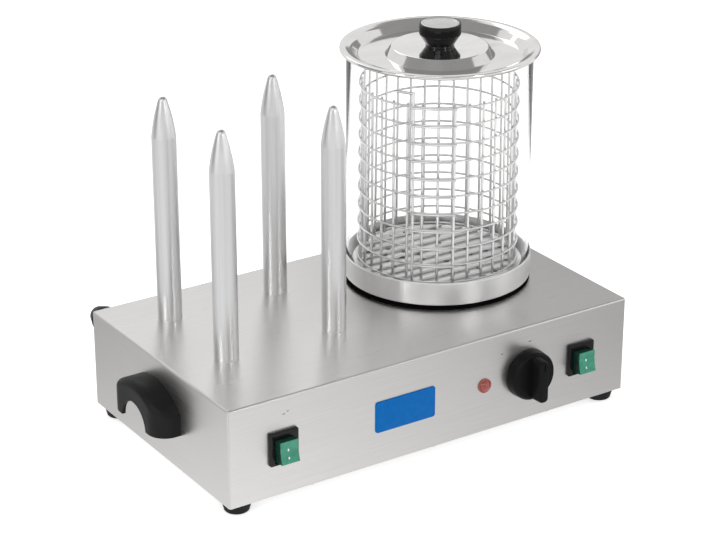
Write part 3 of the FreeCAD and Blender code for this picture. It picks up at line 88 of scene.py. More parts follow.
class Finish:
    """A material with one Principled shader, and helpers that wire textures into it."""

    def __init__(self, name, colour, metallic=0.0, roughness=0.5, **inputs):
        self.material = bpy.data.materials.new(name)
        self.material.use_nodes = True
        self.tree = self.material.node_tree
        self.shader = self.tree.nodes["Principled BSDF"]
        self.set("Base Color", (*colour, 1.0))
        self.set("Metallic", metallic)
        self.set("Roughness", roughness)
        for key, value in inputs.items():
            self.set(key.replace("_", " "), value)
        self.last_bump = None

    def set(self, socket, value):
        """Set one of the shader's own sockets."""
        self.shader.inputs[socket].default_value = value

    def add(self, kind, **values):
        """A new node."""
        node = self.tree.nodes.new(kind)
        for key, value in values.items():
            setattr(node, key, value)
        return node

    def join(self, source, target):
        """A link."""
        self.tree.links.new(source, target)

    def coordinates(self, stretch):
        """Object coordinates, scaled along each axis."""
        place = self.add("ShaderNodeTexCoord")
        mapping = self.add("ShaderNodeMapping")
        mapping.inputs["Scale"].default_value = stretch
        self.join(place.outputs["Object"], mapping.inputs["Vector"])
        return mapping.outputs["Vector"]

    def noise(self, scale, stretch=(1, 1, 1), detail=3.0, rough=0.55):
        """A noise pattern from 0 to 1."""
        texture = self.add("ShaderNodeTexNoise")
        texture.inputs["Scale"].default_value = scale
        texture.inputs["Detail"].default_value = detail
        texture.inputs["Roughness"].default_value = rough
        self.join(self.coordinates(stretch), texture.inputs["Vector"])
        return texture.outputs["Fac"]

    def fit(self, value, low, high, start=0.0, end=1.0):
        """Map a value from one range to another."""
        node = self.add("ShaderNodeMapRange")
        node.inputs["From Min"].default_value = start
        node.inputs["From Max"].default_value = end
        node.inputs["To Min"].default_value = low
        node.inputs["To Max"].default_value = high
        self.join(value, node.inputs["Value"])
        return node.outputs["Result"]

    def blend(self, factor, first, second):
        """Mix two colours, which are tuples or sockets."""
        node = self.add("ShaderNodeMix", data_type="RGBA")
        self.join(factor, node.inputs["Factor"])
        for socket, colour in ((node.inputs[6], first), (node.inputs[7], second)):
            if isinstance(colour, tuple):
                socket.default_value = (*colour, 1.0)
            else:
                self.join(colour, socket)
        return node.outputs[2]

    def choose(self, factor, first, second):
        """Mix two numbers by a factor."""
        node = self.add("ShaderNodeMix", data_type="FLOAT")
        self.join(factor, node.inputs["Factor"])
        for socket, number in ((node.inputs[2], first), (node.inputs[3], second)):
            if isinstance(number, (int, float)):
                socket.default_value = number
            else:
                self.join(number, socket)
        return node.outputs[0]

    def vary_colour(self, factor, first, second):
        """Colour that moves between two tones."""
        self.join(self.blend(factor, first, second), self.shader.inputs["Base Color"])

    def vary_roughness(self, value, low, high, start=0.3, end=0.7):
        """Roughness that moves between two values as the pattern goes from start to end."""
        self.join(self.fit(value, low, high, start, end), self.shader.inputs["Roughness"])

    def bump(self, height, strength, distance):
        """Relief, in metres, stacked on any relief before it."""
        node = self.add("ShaderNodeBump")
        node.inputs["Strength"].default_value = strength
        node.inputs["Distance"].default_value = distance
        self.join(height, node.inputs["Height"])
        if self.last_bump is not None:
            self.join(self.last_bump, node.inputs["Normal"])
        self.last_bump = node.outputs["Normal"]
        self.join(self.last_bump, self.shader.inputs["Normal"])

    def facing(self, axis):
        """How far the surface faces along an axis: 0 across it, 1 along it."""
        shape = self.add("ShaderNodeNewGeometry")
        split = self.add("ShaderNodeSeparateXYZ")
        self.join(shape.outputs["True Normal"], split.inputs["Vector"])
        size = self.add("ShaderNodeMath", operation="ABSOLUTE")
        self.join(split.outputs[axis], size.inputs[0])
        step = self.add("ShaderNodeMath", operation="GREATER_THAN")
        self.join(size.outputs[0], step.inputs[0])
        step.inputs[1].default_value = FACING_LIMIT
        return step.outputs[0]

    def stretch_along(self, axis, amount, factor):
        """Drag reflections out across grain that runs along X, as far as the factor goes."""
        tangent = self.add("ShaderNodeTangent", direction_type="RADIAL", axis=axis)
        self.join(tangent.outputs["Tangent"], self.shader.inputs["Tangent"])
        quarter_turn = 0.25
        self.set("Anisotropic Rotation", quarter_turn)
        self.join(self.fit(factor, 0.0, amount), self.shader.inputs["Anisotropic"])


def brushed_sheet():
    """Stainless sheet: grain along X on the top and front, and along Y on the sides."""
    finish = Finish("brushed_sheet", (0.66, 0.65, 0.64), 1.0, 0.3)
    along_x = finish.noise(1.0, (9, 900, 900), detail=4, rough=0.7)
    along_y = finish.noise(1.0, (900, 9, 900), detail=4, rough=0.7)
    grain = finish.choose(finish.facing("X"), along_x, along_y)
    cloud = finish.noise(7.0, (0.4, 1, 1), detail=3)
    tone = finish.blend(finish.fit(grain, 0, 1, 0.3, 0.7), (0.66, 0.65, 0.64), (0.72, 0.71, 0.70))
    stain = finish.blend(finish.fit(cloud, 0, 0.25, 0.4, 0.8), tone, (0.61, 0.60, 0.595))
    finish.join(stain, finish.shader.inputs["Base Color"])
    finish.vary_roughness(grain, 0.27, 0.36)
    finish.bump(grain, 0.18, 0.00006)
    finish.stretch_along("Y", 0.8, finish.facing("Z"))
    return finish.material


def drawn_metal(name, colour, dark, rough):
    """Drawn bar: fine lines and faint bands along its length."""
    finish = Finish(name, colour, 1.0, rough)
    lines = finish.noise(1.0, (700, 700, 3), detail=3, rough=0.6)
    bands = finish.noise(1.0, (160, 160, 2), detail=2)
    finish.vary_colour(finish.fit(bands, 0, 1, 0.35, 0.65), colour, dark)
    finish.vary_roughness(lines, rough - 0.04, rough + 0.06)
    finish.bump(bands, 0.035, 0.0003)
    finish.bump(lines, 0.2, 0.00005)
    return finish.material


def turned_metal(name, colour, dark, rough):
    """Lathe-turned metal: fine rings across the axis of turning."""
    finish = Finish(name, colour, 1.0, rough)
    rings = finish.noise(1.0, (30, 30, 1400), detail=3, rough=0.6)
    cloud = finish.noise(22.0, detail=3)
    finish.vary_colour(finish.fit(cloud, 0, 1, 0.35, 0.7), colour, dark)
    finish.vary_roughness(rings, rough - 0.05, rough + 0.08)
    finish.bump(rings, 0.25, 0.00005)
    return finish.material


def polished(name, colour, rough):
    """Polished metal with faint wiping marks."""
    finish = Finish(name, colour, 1.0, rough)
    wipe = finish.noise(18.0, (1, 2.2, 1), detail=5, rough=0.65)
    finish.vary_colour(finish.fit(wipe, 0, 1, 0.35, 0.7), colour, tuple(c * 0.9 for c in colour))
    finish.vary_roughness(wipe, max(rough - 0.03, 0.02), rough + 0.06)
    finish.bump(wipe, 0.05, 0.0002)
    return finish.material


def moulded(name, colour, rough, pebble=0.25, light=1.6, sheen=0.5):
    """Moulded plastic or rubber with a fine pebble and slight tone changes."""
    finish = Finish(name, colour, 0.0, rough, Specular_IOR_Level=sheen)
    pebbles = finish.noise(1900.0, detail=2)
    cloud = finish.noise(35.0, detail=3)
    finish.vary_colour(finish.fit(cloud, 0, 1, 0.35, 0.7), colour, tuple(c * light for c in colour))
    finish.vary_roughness(cloud, rough - 0.04, rough + 0.08)
    finish.bump(pebbles, pebble, 0.0001)
    return finish.material


def clear_glass():
    """Clear glass with a faint haze of water marks."""
    finish = Finish("clear_glass", (1.0, 1.0, 1.0), 0.0, 0.0, Transmission_Weight=1.0, IOR=1.25)
    haze = finish.noise(26.0, detail=4)
    finish.vary_roughness(haze, 0.0, 0.02, 0.45, 0.75)
    finish.bump(finish.noise(9.0, detail=1), 0.04, 0.0006)
    return finish.material


def lit_plastic(name, deep, pale, rough=0.18, sheen=0.4, coat=0.4):
    """Coloured plastic or ink: rockers, the lamp and the badge."""
    finish = Finish(name, deep, 0.0, rough, Coat_Weight=coat, Coat_Roughness=0.12, Specular_IOR_Level=sheen)
    cloud = finish.noise(150.0, detail=2)
    finish.vary_colour(finish.fit(cloud, 0, 1, 0.35, 0.65), deep, pale)
    finish.bump(finish.noise(2200.0, detail=1), 0.06, 0.0001)
    return finish.material


STEEL = brushed_sheet()
SPIKE = drawn_metal("spike_aluminium", (0.82, 0.82, 0.82), (0.73, 0.73, 0.74), 0.32)
DISH = turned_metal("dish_metal", (0.86, 0.86, 0.85), (0.78, 0.78, 0.77), 0.33)
PLATE = turned_metal("plate_metal", (0.84, 0.84, 0.83), (0.78, 0.78, 0.77), 0.45)
LID = polished("lid_polish", (0.85, 0.84, 0.83), 0.08)
BOSS = polished("boss_polish", (0.89, 0.88, 0.87), 0.05)
WIRE = polished("basket_wire", (0.67, 0.67, 0.67), 0.32)
ZINC = polished("zinc_plate", (0.62, 0.63, 0.66), 0.32)
BRASS = polished("brass_metal", (0.72, 0.55, 0.26), 0.28)
SHEATH = moulded("heater_sheath", (0.16, 0.15, 0.14), 0.5, light=1.4)
CERAMIC = moulded("ceramic_body", (0.62, 0.59, 0.52), 0.55, light=1.08)
SLEEVE = moulded("wire_sleeve", (0.40, 0.38, 0.34), 0.6, light=1.15)
CAP = turned_metal("cap_metal", (0.74, 0.74, 0.73), (0.66, 0.66, 0.65), 0.30)
RUBBER = moulded("black_rubber", (0.010, 0.010, 0.010), 0.62, pebble=0.35, sheen=0.15)
GASKET = moulded("gasket_black", (0.003, 0.003, 0.003), 0.7, pebble=0.3, sheen=0.0)
PLASTIC = moulded("black_plastic", (0.008, 0.008, 0.0085), 0.40, pebble=0.15, light=1.3, sheen=0.16)
DIAL = moulded("dial_black", (0.005, 0.005, 0.005), 0.34, pebble=0.12, light=1.3, sheen=0.10)
GLOSS = moulded("gloss_black", (0.006, 0.006, 0.0065), 0.10, pebble=0.02, light=1.3, sheen=0.30)
GREEN = lit_plastic("rocker_green", (0.018, 0.200, 0.125), (0.035, 0.260, 0.165))
# The rocker's sides, ends and back: a far darker copy of the rocker green, painted shade.
SHADE_PAINTED_GREEN = lit_plastic("rocker_side_painted_shade", (0.006, 0.030, 0.021), (0.010, 0.045, 0.031), 0.25, 0.2, 0.0)
RED = lit_plastic("lamp_red", (0.250, 0.052, 0.040), (0.320, 0.076, 0.060))
BLUE = lit_plastic("badge_blue", (0.001, 0.110, 0.370), (0.002, 0.120, 0.395), 0.45, 0.04, 0.0)
PRINT = moulded("print_grey", (0.10, 0.10, 0.10), 0.6, pebble=0.05)
MARK = moulded("mark_white", (0.75, 0.75, 0.74), 0.5, pebble=0.05, light=1.05)
GLASS = clear_glass()


def dress(material, *names):
    """Give CAD nodes a material."""
    for name in names:
        mesh = nodes[name].data
        mesh.materials.clear()
        mesh.materials.append(material)


dress(STEEL, "housing_shell", "base_plate")
dress(RUBBER, "foot_front_left", "foot_front_right", "foot_rear_left", "foot_rear_right")
dress(GASKET, "dish_gasket")
dress(SPIKE, "spike_front_left", "spike_front_right", "spike_rear_left", "spike_rear_right")
dress(DISH, "water_dish")
dress(PLATE, "steam_plate")
dress(WIRE, "basket_uprights", "basket_hoops", "basket_floor", "basket_handle")
dress(LID, "lid")
dress(PLASTIC, "lid_knob", "thermostat_knob", "left_handle", "right_handle", "cable_gland", "gland_nut")
dress(CAP, "lid_knob_cap")
dress(GLOSS, "spike_switch_housing", "steamer_switch_housing")
dress(GREEN, "spike_switch_rocker", "steamer_switch_rocker")
dress(RED, "lamp_lens")
dress(BLUE, "badge_plate")
dress(GLASS, "glass_cylinder")
dress(CERAMIC, "thermal_cutout", "thermostat_body", "lamp_holder", "terminal_block")
dress(SHEATH, "dish_heater", "spike_heaters")
dress(SLEEVE, "wiring")
dress(BRASS, "terminal_screws", "earth_stud", "earth_nut", "switch_terminals", "thermostat_bulb")
dress(BRASS, "thermostat_capillary")
dress(ZINC, "base_screws", "foot_screws", "foot_nuts", "spike_washers", "spike_nuts", "dish_nuts")
dress(ZINC, "heater_clamp_bar", "heater_clamp_nut", "lid_knob_screw", "lamp_nut", "thermostat_shaft")
dress(ZINC, "thermostat_screws", "handle_screws", "terminal_fixings")


# ---------------------------------------------------------------------------------------------
# Mesh helpers
# ---------------------------------------------------------------------------------------------


def arc_points(centre, radius, start, stop, steps):
    """Points along an arc, with angles in degrees."""
    angles = [math.radians(start + (stop - start) * n / steps) for n in range(steps + 1)]
    return [(centre[0] + radius * math.cos(a), centre[1] + radius * math.sin(a)) for a in angles]


def softened(corners, steps=5, closed=True):
    """A polygon whose corners (u, v, radius) are rounded where a radius is given."""
    points = []
    count = len(corners)
    for n, corner in enumerate(corners):
        here = Vector(corner[:2])
        radius = corner[2] if len(corner) > 2 else 0
        if not radius or (not closed and n in (0, count - 1)):
            points.append(tuple(here))
            continue
        before = Vector(corners[n - 1][:2]) - here
        after = Vector(corners[(n + 1) % count][:2]) - here
        half = before.angle(after) / 2
        back = min(radius / math.tan(half), before.length * 0.49, after.length * 0.49)
        first = here + before.normalized() * back
        last = here + after.normalized() * back
        for step in range(steps + 1):
            t = step / steps
            point = first * (1 - t) ** 2 + here * (2 * t * (1 - t)) + last * t**2
            points.append(tuple(point))
    return points


def rounded_rectangle(width, height, radius, steps=6):
    """A rectangle about the origin with rounded corners, counterclockwise."""
    points = []
    for side, row, start in ((1, -1, -90), (1, 1, 0), (-1, 1, 90), (-1, -1, 180)):
        centre = (side * (width / 2 - radius), row * (height / 2 - radius))
        points += arc_points(centre, radius, start, start + 90, steps)
    return points


def lathe(bm, outline, place, segments):
    """Turn a closed outline of (radius, height) about Z; a point on the axis becomes one vertex."""
    rings = []
    for radius, height in outline:
        if radius < 1e-6:
            rings.append([bm.verts.new(place @ mm(0, 0, height))])
            continue
        ring = []
        for n in range(segments):
            angle = 2 * math.pi * n / segments
            point = mm(radius * math.cos(angle), radius * math.sin(angle), height)
            ring.append(bm.verts.new(place @ point))
        rings.append(ring)
    for first, second in zip(rings, rings[1:] + rings[:1]):
        if len(first) == 1 and len(second) == 1:
            continue
        for n in range(segments):
            after = (n + 1) % segments
            if len(first) == 1:
                corners = (first[0], second[after], second[n])
            elif len(second) == 1:
                corners = (first[n], first[after], second[0])
            else:
                corners = (first[n], first[after], second[after], second[n])
            bm.faces.new(corners)


def loft(bm, rings, place):
    """Join rings of 3-D points in millimetres, and cap both ends."""
    loops = [[bm.verts.new(place @ mm(*point)) for point in ring] for ring in rings]
    for first, second in zip(loops, loops[1:]):
        for n in range(len(first)):
            after = (n + 1) % len(first)
            bm.faces.new((first[n], first[after], second[after], second[n]))
    bm.faces.new(list(reversed(loops[0])))
    bm.faces.new(loops[-1])


def plate_rings(width, height, radius, low, high, edge):
    """Rings of a flat plate with a rounded upper edge, from level low to level high."""
    steps = 3
    rings = [[(u, v, low) for u, v in rounded_rectangle(width, height, radius)]]
    for step in range(steps + 1):
        angle = math.pi / 2 * step / steps
        inset = edge * (1 - math.cos(angle))
        level = high - edge + edge * math.sin(angle)
        shape = rounded_rectangle(width - inset * 2, height - inset * 2, max(radius - inset, 0.05))
        rings.append([(u, v, level) for u, v in shape])
    return rings


def add_piece(name, bm, body, materials, replaced=()):
    """Make an object of a bmesh, and tell the frame what it is."""
    bmesh.ops.remove_doubles(bm, verts=bm.verts, dist=1e-7)
    bmesh.ops.recalc_face_normals(bm, faces=bm.faces)
    mesh = bpy.data.meshes.new(name)
    bm.to_mesh(mesh)
    bm.free()
    mesh.polygons.foreach_set("use_smooth", [True] * len(mesh.polygons))
    mesh.set_sharp_from_angle(angle=SHARP_ANGLE)
    for material in materials:
        mesh.materials.append(material)
    thing = bpy.data.objects.new(name, mesh)
    bpy.context.scene.collection.objects.link(thing)
    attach(thing, body)
    if replaced:
        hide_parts(*replaced)
    return thing


def upright(x, y, z):
    """Placement of a piece whose own Z stays up."""
    return Matrix.Translation(mm(x, y, z))


def to_front(x, y, z, tilt=0.0):
    """Placement that turns local Z to the front and local Y up, less a tilt in degrees."""
    return Matrix.Translation(mm(x, y, z)) @ Matrix.Rotation(math.radians(90 - tilt), 4, "X")


# ---------------------------------------------------------------------------------------------
# Steamer: dish, glass, lid, knob and cap
# ---------------------------------------------------------------------------------------------


def make_dish():
    """The spun dish with its rolled lip, sunken well and studs."""
    low, high = dish_low.z, dish_high.z
    outer = (dish_high.x - dish_low.x) / 2
    base = gasket_top
    wall, well, depth = 1.6, 74.0, 24.0
    spigot = 3.0
    outline = softened(
        [
            (0, low - base),
            (spigot, low - base),
            (spigot, -depth),
            (well, -depth, 2.0),
            (well, 0, 0.8),
            (outer, 0, 1.4),
            (outer, high - base - 1.4, 0.5),
            (outer - 0.3, high - base, 0.7),
            (outer - wall, high - base, 0.7),
            (outer - wall, wall, 1.2),
            (well - wall, wall, 1.0),
            (well - wall, wall - depth, 1.6),
            (0, wall - depth),
        ]
    )
    bm = bmesh.new()
    lathe(bm, outline, upright(steamer.x, steamer.y, base), segments=192)
    stud_circle, stud_radius, stud_end, stud_sunk = 88.0, 2.0, -15.0, 0.8
    reach = stud_circle / math.sqrt(2)
    stud = softened([(0, stud_end), (stud_radius, stud_end, 0.5), (stud_radius, stud_sunk), (0, stud_sunk)])
    for side in (-1, 1):
        for row in (-1, 1):
            lathe(bm, stud, upright(steamer.x + reach * side, steamer.y + reach * row, base), segments=24)
    add_piece("dish_spinning", bm, "housing", [DISH], ["water_dish"])


def make_glass():
    """The glass tube with fire-polished rims."""
    outer = (glass_high.x - glass_low.x) / 2
    wall = 3.0
    inner = outer - wall
    low, high = glass_low.z, glass_high.z
    outline = softened(
        [(inner, low, 0.9), (outer, low, 0.9), (outer, high, 1.3), (inner, high, 1.3)], steps=6
    )
    bm = bmesh.new()
    lathe(bm, outline, upright(steamer.x, steamer.y, 0), segments=192)
    tube = add_piece("glass_tube", bm, "glass", [GLASS], ["glass_cylinder"])
    tube.visible_shadow = False


def make_lid():
    """The pressed lid with its rolled rim, channel and raised centre."""
    top = lid_high.z
    outer = (lid_high.x - lid_low.x) / 2
    rim = outer - 6.4
    bead_inside = outer - 3.0
    bore, boss, boss_foot, boss_edge = 2.8, 52.0, 58.7, 53.5
    outline = softened(
        [
            (bore, -1.0),
            (boss, -1.0, 1.0),
            (boss_foot, -11.0, 2.5),
            (87.6, -11.0, 2.0),
            (94.0, -3.4, 5.0),
            (rim, -1.0, 2.0),
            (bead_inside, -1.0, 0.4),
            (bead_inside, -4.0, 0.2),
            (outer - 0.6, -4.0, 1.2),
            (outer, -2.0, 1.6),
            (outer - 0.6, 0.0, 1.2),
            (rim, 0.0, 3.0),
            (94.6, -2.0, 6.0),
            (88.0, -10.0, 2.5),
            (boss_foot, -10.0, 1.5),
            (boss, 0.0, 1.8),
            (bore, 0.0),
        ],
        steps=7,
    )
    bm = bmesh.new()
    lathe(bm, outline, upright(steamer.x, steamer.y, top), segments=224)
    centre = Vector((steamer.x, steamer.y)) * MM
    for face in bm.faces:
        middle = face.calc_center_median()
        near = (Vector((middle.x, middle.y)) - centre).length < boss_edge * MM
        face.material_index = 1 if near else 0
    add_piece("lid_spinning", bm, "lid_assembly", [LID, BOSS], ["lid"])


def make_lid_knob():
    """The drum-shaped knob on its tapered foot, and the spun cap in its top."""
    low, high = box_mm("lid_knob")
    height = high.z - low.z
    radius = (high.x - low.x) / 2
    neck, cap = 15.5, 20.5
    drum, bore, bore_depth, cap_recess = 12.0, 2.6, 15.5, 1.2
    outline = softened(
        [
            (bore, 0),
            (neck, 0, 0.6),
            (neck, 2.0, 1.6),
            (radius, height - drum, 3.0),
            (radius, height, 1.6),
            (cap + 0.05, height, 0.3),
            (cap + 0.05, height - cap_recess),
            (0, height - cap_recess),
            (0, bore_depth),
            (bore, bore_depth),
        ],
        steps=7,
    )
    bm = bmesh.new()
    lathe(bm, outline, upright(steamer.x, steamer.y, low.z), segments=128)
    add_piece("knob_moulding", bm, "lid_assembly", [GLOSS], ["lid_knob"])
    low, high = box_mm("lid_knob_cap")
    thick = high.z - low.z
    outline = softened(
        [
            (0, 0),
            (cap, 0, 0.2),
            (cap, thick, 0.4),
            (cap - 2.2, thick, 0.3),
            (cap - 3.0, thick - 0.45, 0.3),
            (0, thick - 0.35),
        ]
    )
    bm = bmesh.new()
    lathe(bm, outline, upright(steamer.x, steamer.y, low.z), segments=128)
    add_piece("knob_cap_disc", bm, "lid_assembly", [CAP], ["lid_knob_cap"])


# ---------------------------------------------------------------------------------------------
# Controls
# ---------------------------------------------------------------------------------------------


def make_switch(name, body):
    """A switch housing with a low-set window, and a green rocker with two small marks; the rocker's sides,
    ends and back are a far darker green, which is painted shade.
    """
    low, high = box_mm(name + "_switch_housing")
    x = (low.x + high.x) / 2
    width, height = high.x - low.x, high.z - low.z
    bezel = front_y - low.y
    drop = 2.8
    can_width, can_height, can_depth = 27.0, 35.0, 20.0
    window_width, window_height, window_floor = 22.0, 26.8, bezel - 14.0
    bm = bmesh.new()
    place = to_front(x, front_y, control_z)
    rings = plate_rings(width, height, 2.5, 0, bezel, 1.1)
    lip = bezel - 0.3
    for w, h, level in (
        (window_width + 0.8, window_height + 0.8, bezel),
        (window_width, window_height, lip),
        (window_width, window_height, window_floor),
    ):
        rings.append([(u, v - drop, level) for u, v in rounded_rectangle(w, h, 1.2)])
    rings.insert(0, [(u, v, 0) for u, v in rounded_rectangle(can_width, can_height, 0.6)])
    rings.insert(0, [(u, v, -can_depth) for u, v in rounded_rectangle(can_width, can_height, 0.6)])
    loft(bm, rings, place)
    add_piece(name + "_switch_bezel", bm, "housing", [GLOSS], [name + "_switch_housing"])

    tilt, half, face, back = 7.0, 12.0, 17.0, 3.0
    pivot_depth, brow, face_points = 7.0, 1.6, 12
    pin_radius, pin_reach = 1.5, 1.7
    flare = half * math.tan(math.radians(tilt))
    place = to_front(x, front_y + pivot_depth - bezel, control_z - drop, tilt)
    wide = window_width - 1.0
    profile = [(-half, -back), (half, -back)]
    top_corner = [(half, -back), (half, face + flare, 1.0), (half - 3, face + flare * 0.7)]
    profile += softened(top_corner, closed=False)[1:-1]
    for n in range(face_points + 1):
        v = half - brow - (half * 2 - brow * 2) * n / face_points
        profile.append((v, face + flare * (abs(v) / half) ** 1.5 - 0.1))
    low_corner = [(3 - half, face + flare * 0.7), (-half, face + flare, 1.0), (-half, -back)]
    profile += softened(low_corner, closed=False)[1:-1]
    bm = bmesh.new()
    rings = []
    edges = ((0, 0.5), (0.15, 0.15), (0.5, 0))
    slices = [(step - wide / 2, inset) for step, inset in edges]
    slices += [(wide / 2 - step, inset) for step, inset in reversed(edges)]
    for u, inset in slices:
        shrink = 1 - inset / half
        rings.append([(u, v * shrink, face / 2 + (w - face / 2) * shrink) for v, w in profile])
    loft(bm, rings, place)
    local = place.inverted()
    # Faces off the rocker's front face take the dark green, painted shade on its sides, ends and back; the
    # front face takes the green.
    for side in bm.faces:
        middle = local @ side.calc_center_median() / MM
        side.material_index = 1 if middle.z > face - 0.6 and abs(middle.x) < wide / 2 else 0
    end = wide / 2 + pin_reach
    pin = softened([(0, -end), (pin_radius, -end, 0.2), (pin_radius, end, 0.2), (0, end)])
    lathe(bm, pin, place @ Matrix.Rotation(math.radians(90), 4, "Y"), segments=32)
    node = name + "_switch_rocker"
    add_piece(name + "_rocker_body", bm, body, [SHADE_PAINTED_GREEN, GREEN], [node])
    mark_x, mark_width, mark_height, mark_thickness = -1.5, 1.5, 2.6, 0.35
    for label, v in (("on", 2.7), ("off", -6.0)):
        bm = bmesh.new()
        level = face + flare * (abs(v) / half) ** 1.5 - 0.3
        rings = plate_rings(mark_width, mark_height, 0.5, level, level + mark_thickness, 0.05)
        loft(bm, rings, place @ Matrix.Translation(mm(mark_x, v, 0)))
        add_piece(f"{name}_rocker_{label}_mark", bm, body, [MARK])


def make_dial():
    """The thermostat knob: a deep skirt, a flat face and a tall bar grip with a pointer line."""
    low, high = box_mm("thermostat_knob")
    x = (low.x + high.x) / 2
    radius = (high.x - low.x) / 2
    gap, skirt, grip = 0.6, 13.0, 17.0
    bore, hollow, hollow_depth = 3.05, 22.5, 4.5
    place = to_front(x, front_y, control_z)
    outline = softened(
        [
            (bore, gap + hollow_depth),
            (hollow, gap + hollow_depth),
            (hollow, gap),
            (radius, gap, 0.4),
            (radius, gap + 2.0, 0.4),
            (radius - 0.7, gap + skirt - 2.5, 1.5),
            (radius - 2.6, gap + skirt, 1.4),
            (0, gap + skirt),
            (0, gap + skirt - 2.0),
            (bore, gap + skirt - 2.0),
        ],
        steps=6,
    )
    bm = bmesh.new()
    lathe(bm, outline, place, segments=160)
    top = gap + skirt + grip
    length = 48.0
    rings = []
    for level, width, long_ in (
        (gap + skirt - 1.0, 12.0, length),
        (gap + skirt + 1.2, 12.0, length),
        (top - 2.2, 11.2, length - 1.0),
        (top - 0.9, 10.6, length - 1.6),
        (top - 0.2, 9.6, length - 2.6),
        (top, 8.2, length - 4.0),
    ):
        shape = rounded_rectangle(width, long_, min(width / 2 - 0.6, 4.0), 8)
        rings.append([(u, v, level) for u, v in shape])
    loft(bm, rings, place)
    add_piece("dial_moulding", bm, "thermostat_dial", [DIAL], ["thermostat_knob"])
    line_width, line_length, line_inset = 1.3, 9.0, 6.5
    bm = bmesh.new()
    rings = plate_rings(line_width, line_length, 0.4, top - 0.3, top, 0.05)
    loft(bm, rings, place @ Matrix.Translation(mm(0, length / 2 - line_inset, 0)))
    add_piece("dial_pointer", bm, "thermostat_dial", [MARK])


def make_badge():
    """The plain badge with rounded corners and a soft edge."""
    low, high = box_mm("badge_plate")
    width, height = high.x - low.x, high.z - low.z
    place = to_front((low.x + high.x) / 2, front_y, (low.z + high.z) / 2)
    bm = bmesh.new()
    loft(bm, plate_rings(width, height, 3.0, 0, front_y - low.y, 0.45), place)
    add_piece("badge_panel", bm, "housing", [BLUE], ["badge_plate"])


def make_prints():
    """Small printed marks beside the controls: thin ink on the panel."""
    marks = (
        (83.3, 84.3, 3.2, 1.0),
        (120.1, 89.9, 3.6, 1.1),
        (-186.0, 89.1, 3.4, 0.9),
        (-181.2, 91.1, 2.6, 0.9),
    )
    for n, (x, height, wide, tall) in enumerate(marks):
        bm = bmesh.new()
        place = to_front(x, front_y, shell_low.z + height)
        loft(bm, plate_rings(wide, tall, tall * 0.4, -0.02, 0.05, 0.02), place)
        add_piece(f"panel_print_{n}", bm, "housing", [PRINT])


make_dish()
make_glass()
make_lid()
make_lid_knob()
make_switch("spike", "spike_rocker")
make_switch("steamer", "steamer_rocker")
make_dial()
make_badge()
make_prints()


# ---------------------------------------------------------------------------------------------
# Studio and camera
# ---------------------------------------------------------------------------------------------


def plane(name, size, centre, normal, material):
    """A flat square in metres that faces a normal."""
    mesh = bpy.data.meshes.new(name)
    half = size / 2
    turn = Vector(normal).to_track_quat("Z", "Y").to_matrix()
    signs = ((-1, -1), (1, -1), (1, 1), (-1, 1))
    corners = [turn @ Vector((x * half, y * half, 0)) + Vector(centre) for x, y in signs]
    mesh.from_pydata(corners, [], [(0, 1, 2, 3)])
    thing = bpy.data.objects.new(name, mesh)
    bpy.context.scene.collection.objects.link(thing)
    mesh.materials.append(material)


def softbox(name, place, target, size, power):
    """A white rectangular area light that looks at a target; all in metres and watts."""
    light = bpy.data.lights.new(name, "AREA")
    light.shape = "RECTANGLE"
    light.size, light.size_y = size
    light.energy = power
    thing = bpy.data.objects.new(name, light)
    thing.location = place
    thing.rotation_euler = (Vector(target) - Vector(place)).to_track_quat("-Z", "Y").to_euler()
    bpy.context.scene.collection.objects.link(thing)


def card(name, size, centre, normal, first, second, axis="X"):
    """A glowing card that only reflections see, with a tone that runs from one side to the other.

    A card that faces up is turned half round, so its first tone lies to the right, or to the rear.
    """
    finish = Finish(name + "_tone", (0, 0, 0), 0.0, 1.0)
    place = finish.add("ShaderNodeTexCoord")
    split = finish.add("ShaderNodeSeparateXYZ")
    finish.join(place.outputs["Object"], split.inputs["Vector"])
    reach = max(size) / 2
    tone = finish.fit(split.outputs[axis], first, second, -reach, reach)
    glow = finish.add("ShaderNodeEmission")
    finish.join(tone, glow.inputs["Strength"])
    output = next(node for node in finish.tree.nodes if node.type == "OUTPUT_MATERIAL")
    finish.join(glow.outputs["Emission"], output.inputs["Surface"])
    mesh = bpy.data.meshes.new(name)
    half_u, half_v = size[0] / 2, size[1] / 2
    corners = [(-half_u, -half_v, 0), (half_u, -half_v, 0), (half_u, half_v, 0), (-half_u, half_v, 0)]
    mesh.from_pydata(corners, [], [(0, 1, 2, 3)])
    mesh.materials.append(finish.material)
    thing = bpy.data.objects.new(name, mesh)
    thing.location = centre
    thing.rotation_euler = Vector(normal).to_track_quat("Z", "Y").to_euler()
    thing.visible_camera = False
    thing.visible_diffuse = False
    thing.visible_shadow = False
    thing.visible_transmission = False
    bpy.context.scene.collection.objects.link(thing)


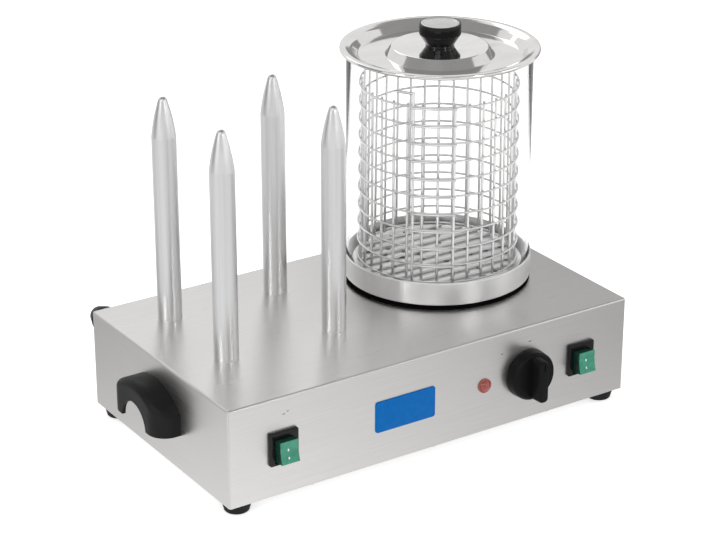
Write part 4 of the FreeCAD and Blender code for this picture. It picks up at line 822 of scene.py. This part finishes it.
def make_studio():
    """A pale floor, a pale world and soft boxes, with grey cards that shape the reflections."""
    floor = Finish("floor_paper", (0.90, 0.90, 0.90), 0.0, 0.9, Emission_Strength=0.50)
    floor.set("Emission Color", (1.0, 1.0, 1.0, 1.0))
    floor.vary_colour(floor.noise(3.0), (0.90, 0.90, 0.90), (0.89, 0.89, 0.89))
    plane("floor", 24.0, (0, 0, 0), (0, 0, 1), floor.material)
    world = bpy.data.worlds.new("studio")
    bpy.context.scene.world = world
    world.use_nodes = True
    background = world.node_tree.nodes["Background"]
    background.inputs["Color"].default_value = (1.0, 1.0, 1.0, 1.0)
    background.inputs["Strength"].default_value = 0.86
    softbox("key", (-1.6, -1.4, 2.2), (0, 0, 0.15), (1.4, 1.0), 9)
    softbox("fill", (2.2, -1.8, 1.2), (0, 0, 0.15), (1.2, 1.2), 3)
    softbox("back", (0.4, 2.4, 2.0), (0, 0, 0.2), (2.4, 0.8), 6)
    card("floor_tone", (12.0, 12.0), (0.0, 0.0, 0.001), (0, 0, 1), 0.80, 0.80)
    card("front_card", (0.9, 0.34), (0.20, -0.31, 0.002), (0, 0, 1), 0.28, 1.08)
    card("left_card", (0.3, 0.8), (-0.40, 0.15, 0.002), (0, 0, 1), 0.38, 1.04, "Y")
    card("ceiling", (5.0, 4.2), (0.0, -0.2, 2.5), (0, 0, -1), 0.32, 0.32)
    card("room", (2.6, 1.0), (-1.60, -2.25, 1.25), (1.60, 2.25, 0), 0.55, 0.55)
    card("left_window", (0.30, 0.26), (-1.847, -0.336, 1.05), (1.966, 0.366, -0.65), 12.0, 12.0)
    card("front_window", (0.30, 0.26), (0.415, -1.95, 1.05), (-0.296, 1.98, -0.65), 12.0, 12.0)
    card("right_wall", (1.5, 0.75), (1.42, 0.82, 0.42), (-1, -0.55, 0), 0.30, 0.30)
    card("left_wall", (1.2, 1.0), (-1.5, 0.9, 0.55), (1, -0.6, 0), 0.30, 0.30)


def make_camera():
    """The photograph's viewpoint, solved from the housing's corners."""
    data = bpy.data.cameras.new("camera")
    data.sensor_width = 36.0
    data.lens = 114.32
    data.clip_start, data.clip_end = 0.05, 100.0
    thing = bpy.data.objects.new("camera", data)
    bpy.context.scene.collection.objects.link(thing)
    place = mm(-1230.04, -1867.80 + middle_y, 1112.93 + shell_low.z)
    target = mm(-3.59, middle_y, 149.69 + shell_low.z)
    thing.location = place
    thing.rotation_euler = (target - place).to_track_quat("-Z", "Y").to_euler()
    bpy.context.scene.camera = thing


make_studio()
make_camera()
bpy.context.scene.view_settings.view_transform = "Standard"
bpy.context.scene.view_settings.look = "None"
